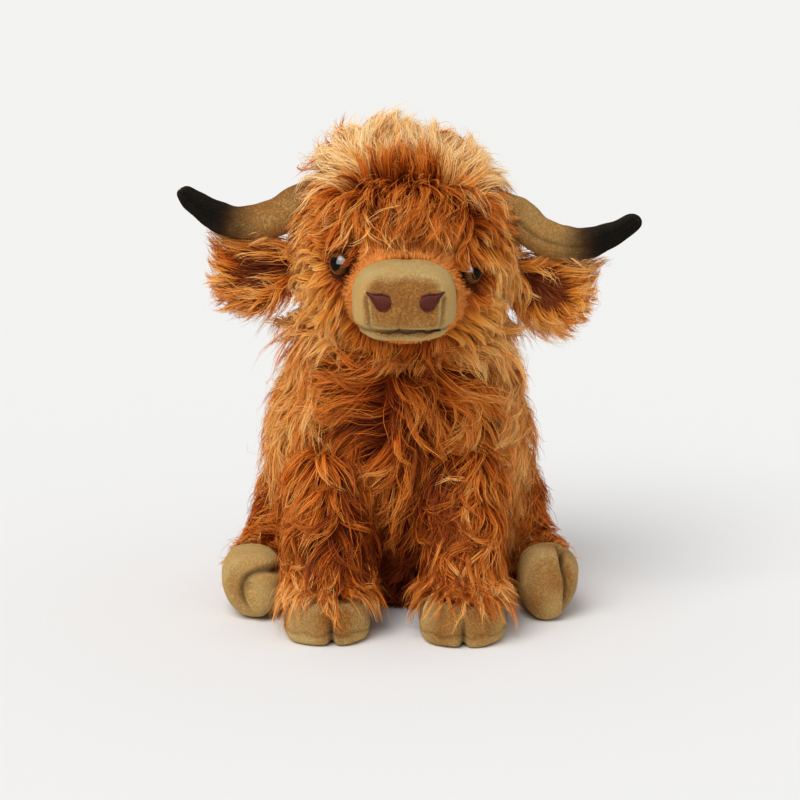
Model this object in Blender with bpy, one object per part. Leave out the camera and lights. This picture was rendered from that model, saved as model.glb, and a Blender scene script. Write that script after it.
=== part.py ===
# A seated highland-cow soft toy, modelled as its sewn and fitted pieces.
#
# Metres, +Z up. The origin is the middle of the flat seat panel, on the floor.
# The toy faces -Y and its left is at -X, as somebody who looks at its face sees it.
# Sizes are taken at the mean surface of the pile, so each soft form is as big as it looks.

import math

import bmesh
import bpy
from mathutils import Matrix, Vector

for old in list(bpy.data.objects):
    bpy.data.objects.remove(old)

# Common sizes
SEAT_GAP = 0.0003
OVERRUN = 0.02
BALL_SLACK_SHARE = 0.018
GUIDE_SIDES = 28
ROUND = 2.0
SIDES = {"left": -1, "right": 1}

# Body: a pear that leans forward from the seat to the neck
BODY_HEIGHT = 0.136
BODY_WIDTH = 0.127
BODY_DEPTH = 0.114
BODY_LEAN = 0.035
BODY_SIDES = 32
# rows of height, width, depth and lean
BODY_SHARES = (
    (0.00, 0.69, 0.74, 0.00),
    (0.03, 0.79, 0.85, 0.00),
    (0.11, 0.88, 0.95, 0.03),
    (0.24, 0.95, 1.00, 0.09),
    (0.38, 0.98, 1.00, 0.23),
    (0.53, 1.00, 0.98, 0.43),
    (0.68, 1.00, 0.95, 0.63),
    (0.81, 0.95, 0.88, 0.80),
    (0.92, 0.86, 0.79, 0.91),
    (1.00, 0.75, 0.68, 1.00),
)

# Seat panel and the pellet bag that lies on it inside the body
SEAT_PANEL_SHARE = 0.82
SEAT_PANEL_THICKNESS = 0.0025
BAG_WIDTH = 0.054
BAG_DEPTH = 0.050
BAG_HEIGHT = 0.016
# rows of height and spread
BAG_SHARES = ((0.00, 0.62), (0.14, 0.87), (0.38, 1.00), (0.66, 0.94), (0.88, 0.70), (1.00, 0.36))

# Head, measured from the neck joint, which is the middle of the body's flat top
HEAD_ROLL = math.radians(3.7)
HEAD_WIDTH = 0.106
HEAD_HEIGHT = 0.112
HEAD_LENGTH = 0.1255
HEAD_BACK = 0.057
HEAD_RISE = 0.046
SNOUT_DROP = 0.0145
HEAD_SIDES = 32
# rows of length from the back, width, height and snout drop
HEAD_SHARES = (
    (0.000, 0.15, 0.14, 0.00),
    (0.025, 0.45, 0.42, 0.00),
    (0.100, 0.74, 0.69, 0.00),
    (0.240, 0.93, 0.88, 0.00),
    (0.415, 1.00, 1.00, 0.00),
    (0.590, 0.98, 0.98, 0.07),
    (0.735, 0.87, 0.83, 0.20),
    (0.840, 0.70, 0.65, 0.42),
    (0.910, 0.55, 0.48, 0.70),
    (0.957, 0.48, 0.38, 0.90),
    (1.000, 0.46, 0.335, 1.00),
)

# Forelock: a mop of long pile over the crown, shorn off along a sloping brow line
FORELOCK_WIDTH = 0.106
FORELOCK_DEPTH = 0.114
FORELOCK_HEIGHT = 0.094
FORELOCK_FORWARD = 0.003
FORELOCK_PILE = 0.009
BROW_SHARE = 0.2143
BROW_FRONT = 0.060
BROW_SLOPE = math.radians(17.0)

# Muzzle, lower lip and the embroidery on them
MUZZLE_WIDTH = 0.049
MUZZLE_HEIGHT = 0.037
MUZZLE_LENGTH = 0.0272
MUZZLE_SIDES = 28
MUZZLE_ROUND = 2.7
# rows of length from the face, width and height
MUZZLE_SHARES = (
    (0.00, 0.95, 0.94),
    (0.22, 1.00, 1.00),
    (0.55, 1.00, 1.00),
    (0.78, 0.94, 0.93),
    (0.92, 0.79, 0.76),
    (1.00, 0.54, 0.48),
)
MOUTH_HEIGHT = 0.0070
MOUTH_SLIT = 0.0006
MOUTH_LINE = 0.0011
MOUTH_WIDTH = 0.041
EMBROIDERY = 0.0007
NOSTRIL_SPREAD = 0.0222
NOSTRIL_RISE = 0.0215
NOSTRIL_WIDTH = 0.0112
NOSTRIL_HEIGHT = 0.0090
# outline of one nostril, from its inner side round its foot to its outer point: across and up
NOSTRIL_SHARES = (
    (-0.46, 0.10),
    (-0.42, -0.22),
    (-0.24, -0.46),
    (0.00, -0.50),
    (0.22, -0.38),
    (0.36, -0.12),
    (0.46, 0.22),
    (0.50, 0.46),
    (0.20, 0.50),
    (-0.16, 0.50),
    (-0.38, 0.36),
)

# Nose bridge: a short-pile panel between the forelock and the muzzle
BRIDGE_PILE = 0.0025
BRIDGE_FOOT_WIDTH = 0.047
BRIDGE_TOP_WIDTH = 0.030
BRIDGE_FOOT = 0.0465
BRIDGE_TOP = 0.0575
BRIDGE_DEPTH = 0.032

# Safety eyes: a dome with its shank through the cover and a washer behind it
EYE_DIAMETER = 0.0125
EYE_DOME = 0.0052
EYE_SHANK_DIAMETER = 0.0034
EYE_SHANK_LENGTH = 0.0105
EYE_SINK = 0.0012
EYE_ALONG_SHARE = 0.885
EYE_UP_ANGLE = math.radians(12.0)
EYE_TURN = math.radians(40.0)
EYE_STEPS = 24
EYE_RINGS = 6
WASHER_DIAMETER = 0.0125
WASHER_THICKNESS = 0.0016
COVER_THICKNESS = 0.0040

# Horns, from where they leave the side of the head
HORN_REACH = 0.070
HORN_DIP = 0.0150
HORN_FORWARD = 0.012
HORN_RADIUS = 0.0096
HORN_SINK = 0.0075
HORN_ALONG_SHARE = 0.435
HORN_UP_ANGLE = math.radians(22.5)
HORN_SIDES = 18
# rows of reach, dip, forward and radius
HORN_SHARES = (
    (0.00, 0.00, 0.00, 0.98),
    (0.09, 0.13, 0.02, 1.00),
    (0.19, 0.36, 0.06, 0.99),
    (0.33, 0.78, 0.14, 0.96),
    (0.50, 1.00, 0.28, 0.90),
    (0.65, 0.96, 0.45, 0.81),
    (0.79, 0.68, 0.64, 0.69),
    (0.90, 0.34, 0.82, 0.56),
    (0.965, 0.09, 0.93, 0.46),
    (0.99, -0.02, 0.97, 0.34),
    (1.00, -0.07, 0.99, 0.16),
)

# Ears, hung on a rounded root in a hollow in the side of the head
EAR_LENGTH = 0.044
EAR_WIDTH = 0.030
EAR_THICKNESS = 0.011
EAR_ROOT_RADIUS = 0.0085
EAR_SINK = 0.0025
EAR_DROOP = math.radians(25.0)
EAR_ALONG_SHARE = 0.45
EAR_UP_ANGLE = math.radians(-9.0)
EAR_SIDES = 16
EAR_ROOT_STEPS = 6
EAR_ROOT_END = math.radians(128.0)
# rows of length, width and thickness
EAR_SHARES = (
    (0.23, 0.48, 0.84),
    (0.34, 0.80, 0.94),
    (0.50, 1.00, 1.00),
    (0.68, 0.97, 0.96),
    (0.84, 0.74, 0.80),
    (0.95, 0.42, 0.54),
    (1.00, 0.16, 0.24),
)
LINING_PILE = 0.0012
LINING_START_SHARE = 0.34
LINING_END_SHARE = 0.86
LINING_WIDTH_SHARE = 0.62

# Front legs: a shoulder ball in a hollow in the chest, a furry sleeve and a cloven hoof
FRONT_LEG_SPACING = 0.065
FRONT_LEG_SHIFT = -0.0025
SHOULDER_HEIGHT = 0.072
SHOULDER_SINK = 0.001
SHOULDER_RADIUS = 0.0212
LEG_SIDES = 20
LEG_ROUND_STEPS = 5
ANKLE_FORWARD = 0.027
# rows down the sleeve: way to the ankle, width and depth
LEG_SHARES = ((0.30, 0.99, 0.98), (0.62, 0.97, 0.95), (0.88, 0.95, 0.92), (1.00, 0.93, 0.88))
FRONT_HOOF_WIDTH = 0.0415
FRONT_HOOF_DEPTH = 0.044
FRONT_HOOF_HEIGHT = 0.0200
FRONT_HOOF_TOE = 0.0015
HOOF_SIDES = 24
HOOF_ROUND = 2.4
# rows of height, width and depth
HOOF_SHARES = (
    (0.00, 0.84, 0.84),
    (0.09, 0.94, 0.94),
    (0.28, 1.00, 1.00),
    (0.60, 0.98, 0.97),
    (0.86, 0.94, 0.90),
    (1.00, 0.88, 0.82),
)
CLEFT_WIDTH = 0.0042
CLEFT_DEPTH = 0.022

# Hind legs: round haunches laid flat against the hips, then a shin to an upturned hoof
HIP_PLANE_SHARE = 0.87
HIP_BACK = 0.001
HAUNCH_RADIUS = 0.0345
HAUNCH_LIFT = 0.0015
HAUNCH_THICKNESS = 0.019
HAUNCH_RECESS = 0.043
SHIN_REACH = 0.044
SHIN_OUT = 0.018
# rows from the haunch's back to the ankle: haunch length, haunch height and thickness
HAUNCH_SHARES = (
    (-1.00, 0.16, 0.28),
    (-0.93, 0.42, 0.55),
    (-0.72, 0.72, 0.80),
    (-0.36, 0.94, 0.96),
    (0.00, 1.00, 1.00),
    (0.34, 0.94, 1.00),
)
# rows of reach, outward shift, half width and half height, the last two as shares of the hoof's
SHIN_SHARES = (
    (0.52, 0.30, 1.13, 1.42),
    (0.70, 0.60, 1.07, 1.20),
    (0.87, 0.88, 1.02, 1.06),
    (1.00, 1.00, 0.98, 0.98),
)
HIND_HOOF_WIDTH = 0.0305
HIND_HOOF_HEIGHT = 0.0350
HIND_HOOF_LENGTH = 0.0265
# rows of length, width and height
HIND_HOOF_SHARES = (
    (0.00, 0.92, 0.93),
    (0.20, 1.00, 1.00),
    (0.52, 1.00, 1.00),
    (0.78, 0.90, 0.92),
    (0.93, 0.68, 0.72),
    (1.00, 0.40, 0.44),
)
HIND_CLEFT_OUT_SHARE = 0.24

# Tail: a sewn cord of pile with a tuft, hung on a small ball in the back of the body
TAIL_HEIGHT = 0.058
TAIL_SINK = 0.0015
TAIL_RADIUS = 0.0058
TAIL_LENGTH = 0.040
TAIL_SLOPE = math.radians(33.0)
TAIL_SIDES = 14
TAIL_ROUND_STEPS = 5
TUFT_RADIUS = 0.0088
TUFT_LENGTH = 0.021
# rows of length and radius
TUFT_SHARES = ((0.00, 0.60), (0.16, 0.86), (0.42, 1.00), (0.70, 0.84), (0.90, 0.48), (1.00, 0.20))

# Colours and roughness
LONG_PILE = (0.47, 0.17, 0.035)
PALE_PILE = (0.63, 0.30, 0.09)
SHORT_PILE = (0.45, 0.15, 0.03)
TAN_PLUSH = (0.42, 0.25, 0.09)
DARK_LINING = (0.10, 0.02, 0.006)
THREAD = (0.07, 0.02, 0.012)
EYE_BROWN = (0.05, 0.02, 0.01)
WHITE_NYLON = (0.75, 0.75, 0.72)
BAG_CLOTH = (0.55, 0.53, 0.48)
PILE_ROUGHNESS = 0.9
PLASTIC_ROUGHNESS = 0.08
NYLON_ROUGHNESS = 0.45


# Materials
def finish(name, colour, roughness):
    """Make a Principled material of one colour and roughness."""
    material = bpy.data.materials.new(name)
    material.use_nodes = True
    shader = material.node_tree.nodes["Principled BSDF"]
    shader.inputs["Base Color"].default_value = (*colour, 1.0)
    shader.inputs["Roughness"].default_value = roughness
    shader.inputs["Metallic"].default_value = 0.0
    return material


long_pile = finish("long_pile", LONG_PILE, PILE_ROUGHNESS)
pale_pile = finish("pale_pile", PALE_PILE, PILE_ROUGHNESS)
short_pile = finish("short_pile", SHORT_PILE, PILE_ROUGHNESS)
tan_plush = finish("tan_plush", TAN_PLUSH, PILE_ROUGHNESS)
dark_lining = finish("dark_lining", DARK_LINING, PILE_ROUGHNESS)
thread = finish("thread", THREAD, PILE_ROUGHNESS)
eye_plastic = finish("eye_plastic", EYE_BROWN, PLASTIC_ROUGHNESS)
white_nylon = finish("white_nylon", WHITE_NYLON, NYLON_ROUGHNESS)
bag_cloth = finish("bag_cloth", BAG_CLOTH, PILE_ROUGHNESS)


# Making and placing objects
def pivot(name, place, parent=None, roll=0.0):
    """Place an empty where a piece turns or is carried."""
    empty = bpy.data.objects.new(name, None)
    bpy.context.collection.objects.link(empty)
    empty.location = place
    empty.rotation_euler = (0.0, roll, 0.0)
    empty.parent = parent
    return empty


def shape(name, mesh, material, parent=None):
    """Turn a bmesh into an object; a shape with no material is a guide that only cuts."""
    bmesh.ops.recalc_face_normals(mesh, faces=mesh.faces)
    data = bpy.data.meshes.new(name)
    mesh.to_mesh(data)
    mesh.free()
    data.shade_smooth()
    data.set_sharp_from_angle(angle=math.radians(50.0))
    made = bpy.data.objects.new(name, data)
    bpy.context.collection.objects.link(made)
    made.parent = parent
    if material is None:
        made.hide_render = True
        made.display_type = "WIRE"
    else:
        data.materials.append(material)
    return made


def cut(target, *guides, operation="DIFFERENCE"):
    """Cut the target by each guide, or keep only what lies in it."""
    for guide in guides:
        boolean = target.modifiers.new(guide.name, "BOOLEAN")
        boolean.operation = operation
        boolean.object = guide
        boolean.solver = "EXACT"


# Shapes
def ring_place(centre, half_across, half_up, across, up):
    """Give the matrix that lays a unit ring at a centre, stretched along two directions."""
    across = Vector(across).normalized()
    up = Vector(up).normalized()
    columns = (across * half_across, up * half_up, across.cross(up), Vector(centre))
    place = Matrix.Identity(4)
    for column, values in enumerate(columns):
        for row in range(3):
            place[row][column] = values[row]
    return place


def soft_form(name, places, sides, material, parent=None, roundness=ROUND):
    """Draw one ring on from place to place, and close both ends."""
    mesh = bmesh.new()
    bmesh.ops.create_circle(mesh, cap_ends=False, radius=1.0, segments=sides)
    for point in mesh.verts:
        size = abs(point.co.x) ** roundness + abs(point.co.y) ** roundness
        point.co *= size ** (-1.0 / roundness)
    bmesh.ops.transform(mesh, matrix=places[0], verts=mesh.verts)
    ring = mesh.edges[:]
    bmesh.ops.contextual_create(mesh, geom=ring)
    for before, after in zip(places, places[1:]):
        drawn = bmesh.ops.extrude_edge_only(mesh, edges=ring)["geom"]
        points = [item for item in drawn if isinstance(item, bmesh.types.BMVert)]
        edges = [item for item in drawn if isinstance(item, bmesh.types.BMEdge)]
        known = set(points)
        ring = [edge for edge in edges if all(end in known for end in edge.verts)]
        bmesh.ops.transform(mesh, matrix=after @ before.inverted(), verts=points)
    bmesh.ops.contextual_create(mesh, geom=ring)
    return shape(name, mesh, material, parent)


def ball(name, centre, half_sizes, material=None, parent=None):
    """Make a stretched sphere."""
    mesh = bmesh.new()
    size = Matrix.Diagonal((*half_sizes, 1.0))
    place = Matrix.Translation(centre) @ size
    rings = GUIDE_SIDES // 2
    bmesh.ops.create_uvsphere(mesh, u_segments=GUIDE_SIDES, v_segments=rings, radius=1.0, matrix=place)
    return shape(name, mesh, material, parent)


def block(name, low, high, parent=None):
    """Make a guide box between two corners."""
    mesh = bmesh.new()
    low = Vector(low)
    high = Vector(high)
    size = Matrix.Diagonal((*(high - low), 1.0))
    bmesh.ops.create_cube(mesh, size=1.0, matrix=Matrix.Translation((low + high) / 2) @ size)
    return shape(name, mesh, None, parent)


def prism(name, outline, front, depth, parent=None):
    """Push an outline in X and Z back from a front plane, as a guide."""
    mesh = bmesh.new()
    corners = [mesh.verts.new((across, front, up)) for across, up in outline]
    face = mesh.faces.new(corners)
    pushed = bmesh.ops.extrude_face_region(mesh, geom=[face])["geom"]
    points = [item for item in pushed if isinstance(item, bmesh.types.BMVert)]
    bmesh.ops.translate(mesh, vec=(0.0, depth, 0.0), verts=points)
    return shape(name, mesh, None, parent)


def turned(name, profile, place, material, parent=None):
    """Spin a closed profile of radius and height about its axis, then put it in place."""
    mesh = bmesh.new()
    points = [mesh.verts.new((radius, 0.0, height)) for radius, height in profile]
    for one, other in zip(points, points[1:]):
        mesh.edges.new((one, other))
    if profile[0][0] > 0.0:
        mesh.edges.new((points[-1], points[0]))
    drawn = mesh.verts[:] + mesh.edges[:]
    middle = (0.0, 0.0, 0.0)
    axis = (0.0, 0.0, 1.0)
    bmesh.ops.spin(
        mesh, geom=drawn, cent=middle, axis=axis, angle=math.tau, steps=EYE_STEPS, use_merge=True
    )
    bmesh.ops.remove_doubles(mesh, verts=mesh.verts, dist=SEAT_GAP / 100)
    bmesh.ops.transform(mesh, matrix=place, verts=mesh.verts)
    return shape(name, mesh, material, parent)


def between(rows, share):
    """Read a table of shares at any share of its first column."""
    for lower, upper in zip(rows, rows[1:]):
        if share <= upper[0]:
            way = (share - lower[0]) / (upper[0] - lower[0])
            return [low + way * (high - low) for low, high in zip(lower, upper)]
    return list(rows[-1])


def rounded_end(radius, steps, start, end):
    """Give distance and radius along a ball's axis, between two angles from its pole."""
    rows = []
    for step in range(steps):
        angle = start + (end - start) * step / (steps - 1)
        rows.append((-radius * math.cos(angle), radius * math.sin(angle)))
    return rows


def patch(name, form, outline, thickness, material, parent):
    """Lay a thin panel on a form, inside an outline guide."""
    panel = form(name, SEAT_GAP + thickness, material)
    under = form(name + "_under", SEAT_GAP, None)
    cut(panel, outline, operation="INTERSECT")
    cut(panel, under)
    panel.parent = parent
    under.parent = parent
    return panel


# Body
def body_section(height):
    """Give the body's half width, half depth and middle at a height."""
    row = between(BODY_SHARES, height / BODY_HEIGHT)
    return BODY_WIDTH * row[1] / 2, BODY_DEPTH * row[2] / 2, -BODY_LEAN * row[3]


def body_side(height, across, direction):
    """Give the Y of the body's skin at a height, in front (-1) or behind (1)."""
    half_width, half_depth, middle = body_section(height)
    bulge = math.sqrt(1.0 - (across / half_width) ** 2)
    return middle + direction * half_depth * bulge


def body_form(name, margin, material):
    """Stack the body's rings from the seat to the neck, each grown by a margin."""
    places = []
    for row in BODY_SHARES:
        half_width = BODY_WIDTH * row[1] / 2 + margin
        half_depth = BODY_DEPTH * row[2] / 2 + margin
        centre = Vector((0.0, -BODY_LEAN * row[3], BODY_HEIGHT * row[0]))
        places.append(ring_place(centre, half_width, half_depth, (1, 0, 0), (0, 1, 0)))
    places[0].translation.z -= margin
    places[-1].translation.z += margin
    return soft_form(name, places, BODY_SIDES, material)


def base_ring(height, margin):
    """Give the seat panel's ring at a height, grown by a margin."""
    half_width = BODY_WIDTH * BODY_SHARES[0][1] * SEAT_PANEL_SHARE / 2 + margin
    half_depth = BODY_DEPTH * BODY_SHARES[0][2] * SEAT_PANEL_SHARE / 2 + margin
    return ring_place((0.0, 0.0, height), half_width, half_depth, (1, 0, 0), (0, 1, 0))


def bag_form(name, margin, material):
    """Stack the pellet bag's rings on the seat panel."""
    places = []
    for up_share, spread_share in BAG_SHARES:
        height = SEAT_PANEL_THICKNESS + SEAT_GAP + BAG_HEIGHT * up_share
        half_width = BAG_WIDTH * spread_share / 2 + margin
        half_depth = BAG_DEPTH * spread_share / 2 + margin
        places.append(ring_place((0.0, 0.0, height), half_width, half_depth, (1, 0, 0), (0, 1, 0)))
    places[0].translation.z -= margin
    places[-1].translation.z += margin
    return soft_form(name, places, GUIDE_SIDES, material)


body = body_form("body", 0.0, long_pile)
body_guide = body_form("body_guide", SEAT_GAP, None)

seat_panel_rings = [base_ring(0.0, 0.0), base_ring(SEAT_PANEL_THICKNESS, 0.0)]
seat_panel = soft_form("seat_panel", seat_panel_rings, BODY_SIDES, short_pile)
seat_recess_rings = [base_ring(-OVERRUN, SEAT_GAP), base_ring(SEAT_PANEL_THICKNESS + SEAT_GAP, SEAT_GAP)]
seat_recess = soft_form("seat_recess", seat_recess_rings, BODY_SIDES, None)
pellet_bag = bag_form("pellet_bag", 0.0, bag_cloth)
bag_pocket = bag_form("bag_pocket", SEAT_GAP, None)
cut(body, seat_recess, bag_pocket)


# Head
neck = Vector((0.0, -BODY_LEAN, BODY_HEIGHT))
head_pivot = pivot("head_pivot", neck, None, HEAD_ROLL)


def head_section(along):
    """Give the head's half width, half height, Y and Z at a share of its length from the back."""
    row = between(HEAD_SHARES, along)
    half_width = HEAD_WIDTH * row[1] / 2
    half_height = HEAD_HEIGHT * row[2] / 2
    return half_width, half_height, HEAD_BACK - HEAD_LENGTH * along, HEAD_RISE - SNOUT_DROP * row[3]


def head_point(along, angle, side):
    """Give a point on the side of the head, at an angle above the middle of its section."""
    half_width, half_height, back, rise = head_section(along)
    across = side * half_width * math.cos(angle)
    return Vector((across, back, rise + half_height * math.sin(angle)))


def head_form(name, margin, material):
    """Stack the head's rings from the back to the flat end of the snout."""
    places = []
    for row in HEAD_SHARES:
        half_width, half_height, back, rise = head_section(row[0])
        place = ring_place((0.0, back, rise), half_width + margin, half_height + margin, (1, 0, 0), (0, 0, 1))
        places.append(place)
    places[0].translation.y += margin
    places[-1].translation.y -= margin
    return soft_form(name, places, HEAD_SIDES, material, head_pivot)


head = head_form("head", 0.0, long_pile)
head_guide = head_form("head_guide", SEAT_GAP, None)
half_block = HEAD_LENGTH + OVERRUN
neck_low = (-half_block, -half_block, BODY_HEIGHT - HEAD_HEIGHT)
neck_high = (half_block, half_block, BODY_HEIGHT + SEAT_GAP)
neck_block = block("neck_block", neck_low, neck_high)
cut(head, neck_block)

# Muzzle, lower lip, mouth and nostrils
muzzle_back = HEAD_BACK - HEAD_LENGTH - SEAT_GAP
muzzle_rise = HEAD_RISE - SNOUT_DROP
mouth_rise = muzzle_rise - MUZZLE_HEIGHT / 2 + MOUTH_HEIGHT


def muzzle_form(name, margin, material):
    """Stack the muzzle's rounded rings forward from the face."""
    places = []
    for along_share, width_share, height_share in MUZZLE_SHARES:
        half_width = MUZZLE_WIDTH * width_share / 2 + margin
        half_height = MUZZLE_HEIGHT * height_share / 2 + margin
        centre = (0.0, muzzle_back - MUZZLE_LENGTH * along_share, muzzle_rise)
        places.append(ring_place(centre, half_width, half_height, (1, 0, 0), (0, 0, 1)))
    places[-1].translation.y -= margin
    return soft_form(name, places, MUZZLE_SIDES, material, head_pivot, MUZZLE_ROUND)


muzzle = muzzle_form("muzzle", 0.0, tan_plush)
lower_lip = muzzle_form("lower_lip", 0.0, tan_plush)
lip_half_width = MUZZLE_WIDTH / 2 + OVERRUN
lip_front = muzzle_back - MUZZLE_LENGTH - OVERRUN
lip_back = muzzle_back + OVERRUN
below_low = (-lip_half_width, lip_front, mouth_rise - MUZZLE_HEIGHT)
below_high = (lip_half_width, lip_back, mouth_rise + MOUTH_SLIT / 2)
below_mouth = block("below_mouth", below_low, below_high, head_pivot)
above_low = (-lip_half_width, lip_front, mouth_rise - MOUTH_SLIT / 2)
above_high = (lip_half_width, lip_back, mouth_rise + MUZZLE_HEIGHT)
above_mouth = block("above_mouth", above_low, above_high, head_pivot)
cut(muzzle, below_mouth)
cut(lower_lip, above_mouth)

mouth_outline = [
    (-MOUTH_WIDTH / 2, mouth_rise - MOUTH_LINE / 2),
    (MOUTH_WIDTH / 2, mouth_rise - MOUTH_LINE / 2),
    (MOUTH_WIDTH / 2, mouth_rise + MOUTH_LINE / 2),
    (-MOUTH_WIDTH / 2, mouth_rise + MOUTH_LINE / 2),
]
mouth_guide = prism("mouth_guide", mouth_outline, lip_front, OVERRUN + MUZZLE_LENGTH / 2, head_pivot)
patch("mouth_stitch", muzzle_form, mouth_guide, EMBROIDERY, thread, head_pivot)

for side_name, side in SIDES.items():
    nostril_outline = []
    for across_share, up_share in NOSTRIL_SHARES:
        across = side * (NOSTRIL_SPREAD / 2 + NOSTRIL_WIDTH * across_share)
        nostril_outline.append((across, mouth_rise - MOUTH_HEIGHT + NOSTRIL_RISE + NOSTRIL_HEIGHT * up_share))
    guide_name = "nostril_guide_" + side_name
    nostril_guide = prism(guide_name, nostril_outline, lip_front, OVERRUN + MUZZLE_LENGTH / 2, head_pivot)
    patch("nostril_" + side_name, muzzle_form, nostril_guide, EMBROIDERY, thread, head_pivot)

# Nose bridge
bridge_outline = [
    (-BRIDGE_FOOT_WIDTH / 2, BRIDGE_FOOT),
    (BRIDGE_FOOT_WIDTH / 2, BRIDGE_FOOT),
    (BRIDGE_TOP_WIDTH / 2, BRIDGE_TOP),
    (-BRIDGE_TOP_WIDTH / 2, BRIDGE_TOP),
]
bridge_guide = prism("bridge_guide", bridge_outline, muzzle_back + SEAT_GAP, BRIDGE_DEPTH, head_pivot)
patch("nose_bridge", head_form, bridge_guide, BRIDGE_PILE, short_pile, head_pivot)

# Horns
def horn_form(name, side, margin, material):
    """Sweep the horn's rings along its curve, out, down and up again."""
    root = head_point(HORN_ALONG_SHARE, HORN_UP_ANGLE, side) - Vector((side * HORN_SINK, 0.0, 0.0))
    points = []
    for reach_share, dip_share, forward_share, radius_share in HORN_SHARES:
        step = (side * HORN_REACH * reach_share, -HORN_FORWARD * forward_share, -HORN_DIP * dip_share)
        points.append(root + Vector(step))
    places = []
    for index, (point, row) in enumerate(zip(points, HORN_SHARES)):
        way = points[min(index + 1, len(points) - 1)] - points[max(index - 1, 0)]
        across = way.cross(Vector((0.0, 0.0, 1.0)))
        radius = HORN_RADIUS * row[3] + margin
        places.append(ring_place(point, radius, radius, across, across.cross(way)))
    end_way = (points[-1] - points[-2]).normalized() * margin
    start_way = (points[0] - points[1]).normalized() * margin
    places[-1].translation += end_way
    places[0].translation += start_way
    return soft_form(name, places, HORN_SIDES, material, head_pivot)


horn_guides = []
for side_name, side in SIDES.items():
    horn_form("horn_" + side_name, side, 0.0, tan_plush)
    horn_guides.append(horn_form("horn_guide_" + side_name, side, SEAT_GAP, None))
cut(head, *horn_guides)

# Forelock
forelock_rise = HEAD_RISE + HEAD_HEIGHT / 2 + FORELOCK_PILE - FORELOCK_HEIGHT / 2
brow_rise = HEAD_RISE + HEAD_HEIGHT / 2 * BROW_SHARE
forelock_centre = (0.0, -FORELOCK_FORWARD, forelock_rise)
forelock_half = (FORELOCK_WIDTH / 2, FORELOCK_DEPTH / 2, FORELOCK_HEIGHT / 2)
forelock = ball("forelock", forelock_centre, forelock_half, pale_pile, head_pivot)
brow_half = FORELOCK_DEPTH + OVERRUN
brow_low = (-brow_half, -brow_half, -2 * brow_half)
brow_block = block("brow_block", brow_low, (brow_half, brow_half, 0.0), head_pivot)
brow_block.location = (0.0, -BROW_FRONT, brow_rise)
brow_block.rotation_euler = (BROW_SLOPE, 0.0, 0.0)
cut(forelock, brow_block, head_guide, *horn_guides)

# Eyes and their washers
eye_radius = EYE_DIAMETER / 2
shank_radius = EYE_SHANK_DIAMETER / 2
washer_radius = WASHER_DIAMETER / 2
eye_bulge = (eye_radius**2 + EYE_DOME**2) / (2 * EYE_DOME)
eye_profile = [(0.0, -EYE_SHANK_LENGTH), (shank_radius, -EYE_SHANK_LENGTH), (shank_radius, 0.0)]
dome_angle = math.asin(min(eye_radius / eye_bulge, 1.0))
for ring in range(EYE_RINGS):
    angle = dome_angle * (1.0 - ring / EYE_RINGS)
    eye_profile.append((eye_bulge * math.sin(angle), EYE_DOME - eye_bulge * (1.0 - math.cos(angle))))
eye_profile.append((0.0, EYE_DOME))
washer_top = -COVER_THICKNESS - SEAT_GAP
washer_profile = [
    (shank_radius + SEAT_GAP, washer_top),
    (washer_radius, washer_top),
    (washer_radius, washer_top - WASHER_THICKNESS),
    (shank_radius + SEAT_GAP, washer_top - WASHER_THICKNESS),
]
pocket_top = EYE_DOME + OVERRUN
pocket_profile = [
    (0.0, pocket_top),
    (eye_radius + SEAT_GAP, pocket_top),
    (eye_radius + SEAT_GAP, -SEAT_GAP),
    (shank_radius + SEAT_GAP, -SEAT_GAP),
    (shank_radius + SEAT_GAP, -COVER_THICKNESS),
    (washer_radius + SEAT_GAP, -COVER_THICKNESS),
    (washer_radius + SEAT_GAP, -EYE_SHANK_LENGTH - SEAT_GAP),
    (0.0, -EYE_SHANK_LENGTH - SEAT_GAP),
]
for side_name, side in SIDES.items():
    outward = Vector((side * math.sin(EYE_TURN), -math.cos(EYE_TURN), 0.0))
    seat = head_point(EYE_ALONG_SHARE, EYE_UP_ANGLE, side) - outward * EYE_SINK
    eye_place = Matrix.Translation(seat) @ outward.to_track_quat("Z", "Y").to_matrix().to_4x4()
    turned("eye_" + side_name, eye_profile, eye_place, eye_plastic, head_pivot)
    turned("eye_washer_" + side_name, washer_profile, eye_place, white_nylon, head_pivot)
    eye_pocket = turned("eye_pocket_" + side_name, pocket_profile, eye_place, None, head_pivot)
    cut(head, eye_pocket)


# Ears and their linings
def ear_maker(side, ear_pivot):
    """Give the function that makes one ear, or its grown guide, about its root."""
    outward = Vector((side * math.cos(EAR_DROOP), 0.0, -math.sin(EAR_DROOP)))
    upward = Vector((side * math.sin(EAR_DROOP), 0.0, math.cos(EAR_DROOP)))

    def ear_form(name, margin, material):
        rows = []
        pole = math.asin(EAR_SHARES[-1][2] / 2)
        for along, radius in rounded_end(EAR_ROOT_RADIUS, EAR_ROOT_STEPS, pole, EAR_ROOT_END):
            rows.append((along, radius, radius))
        for along_share, width_share, thickness_share in EAR_SHARES:
            half_width = EAR_WIDTH * width_share / 2
            rows.append((EAR_LENGTH * along_share, half_width, EAR_THICKNESS * thickness_share / 2))
        places = []
        for along, half_width, half_thickness in rows:
            sizes = (half_width + margin, half_thickness + margin)
            places.append(ring_place(outward * along, *sizes, upward, (0, 1, 0)))
        places[0].translation -= outward * margin
        places[-1].translation += outward * margin
        return soft_form(name, places, EAR_SIDES, material, ear_pivot)

    return ear_form, outward, upward


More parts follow.
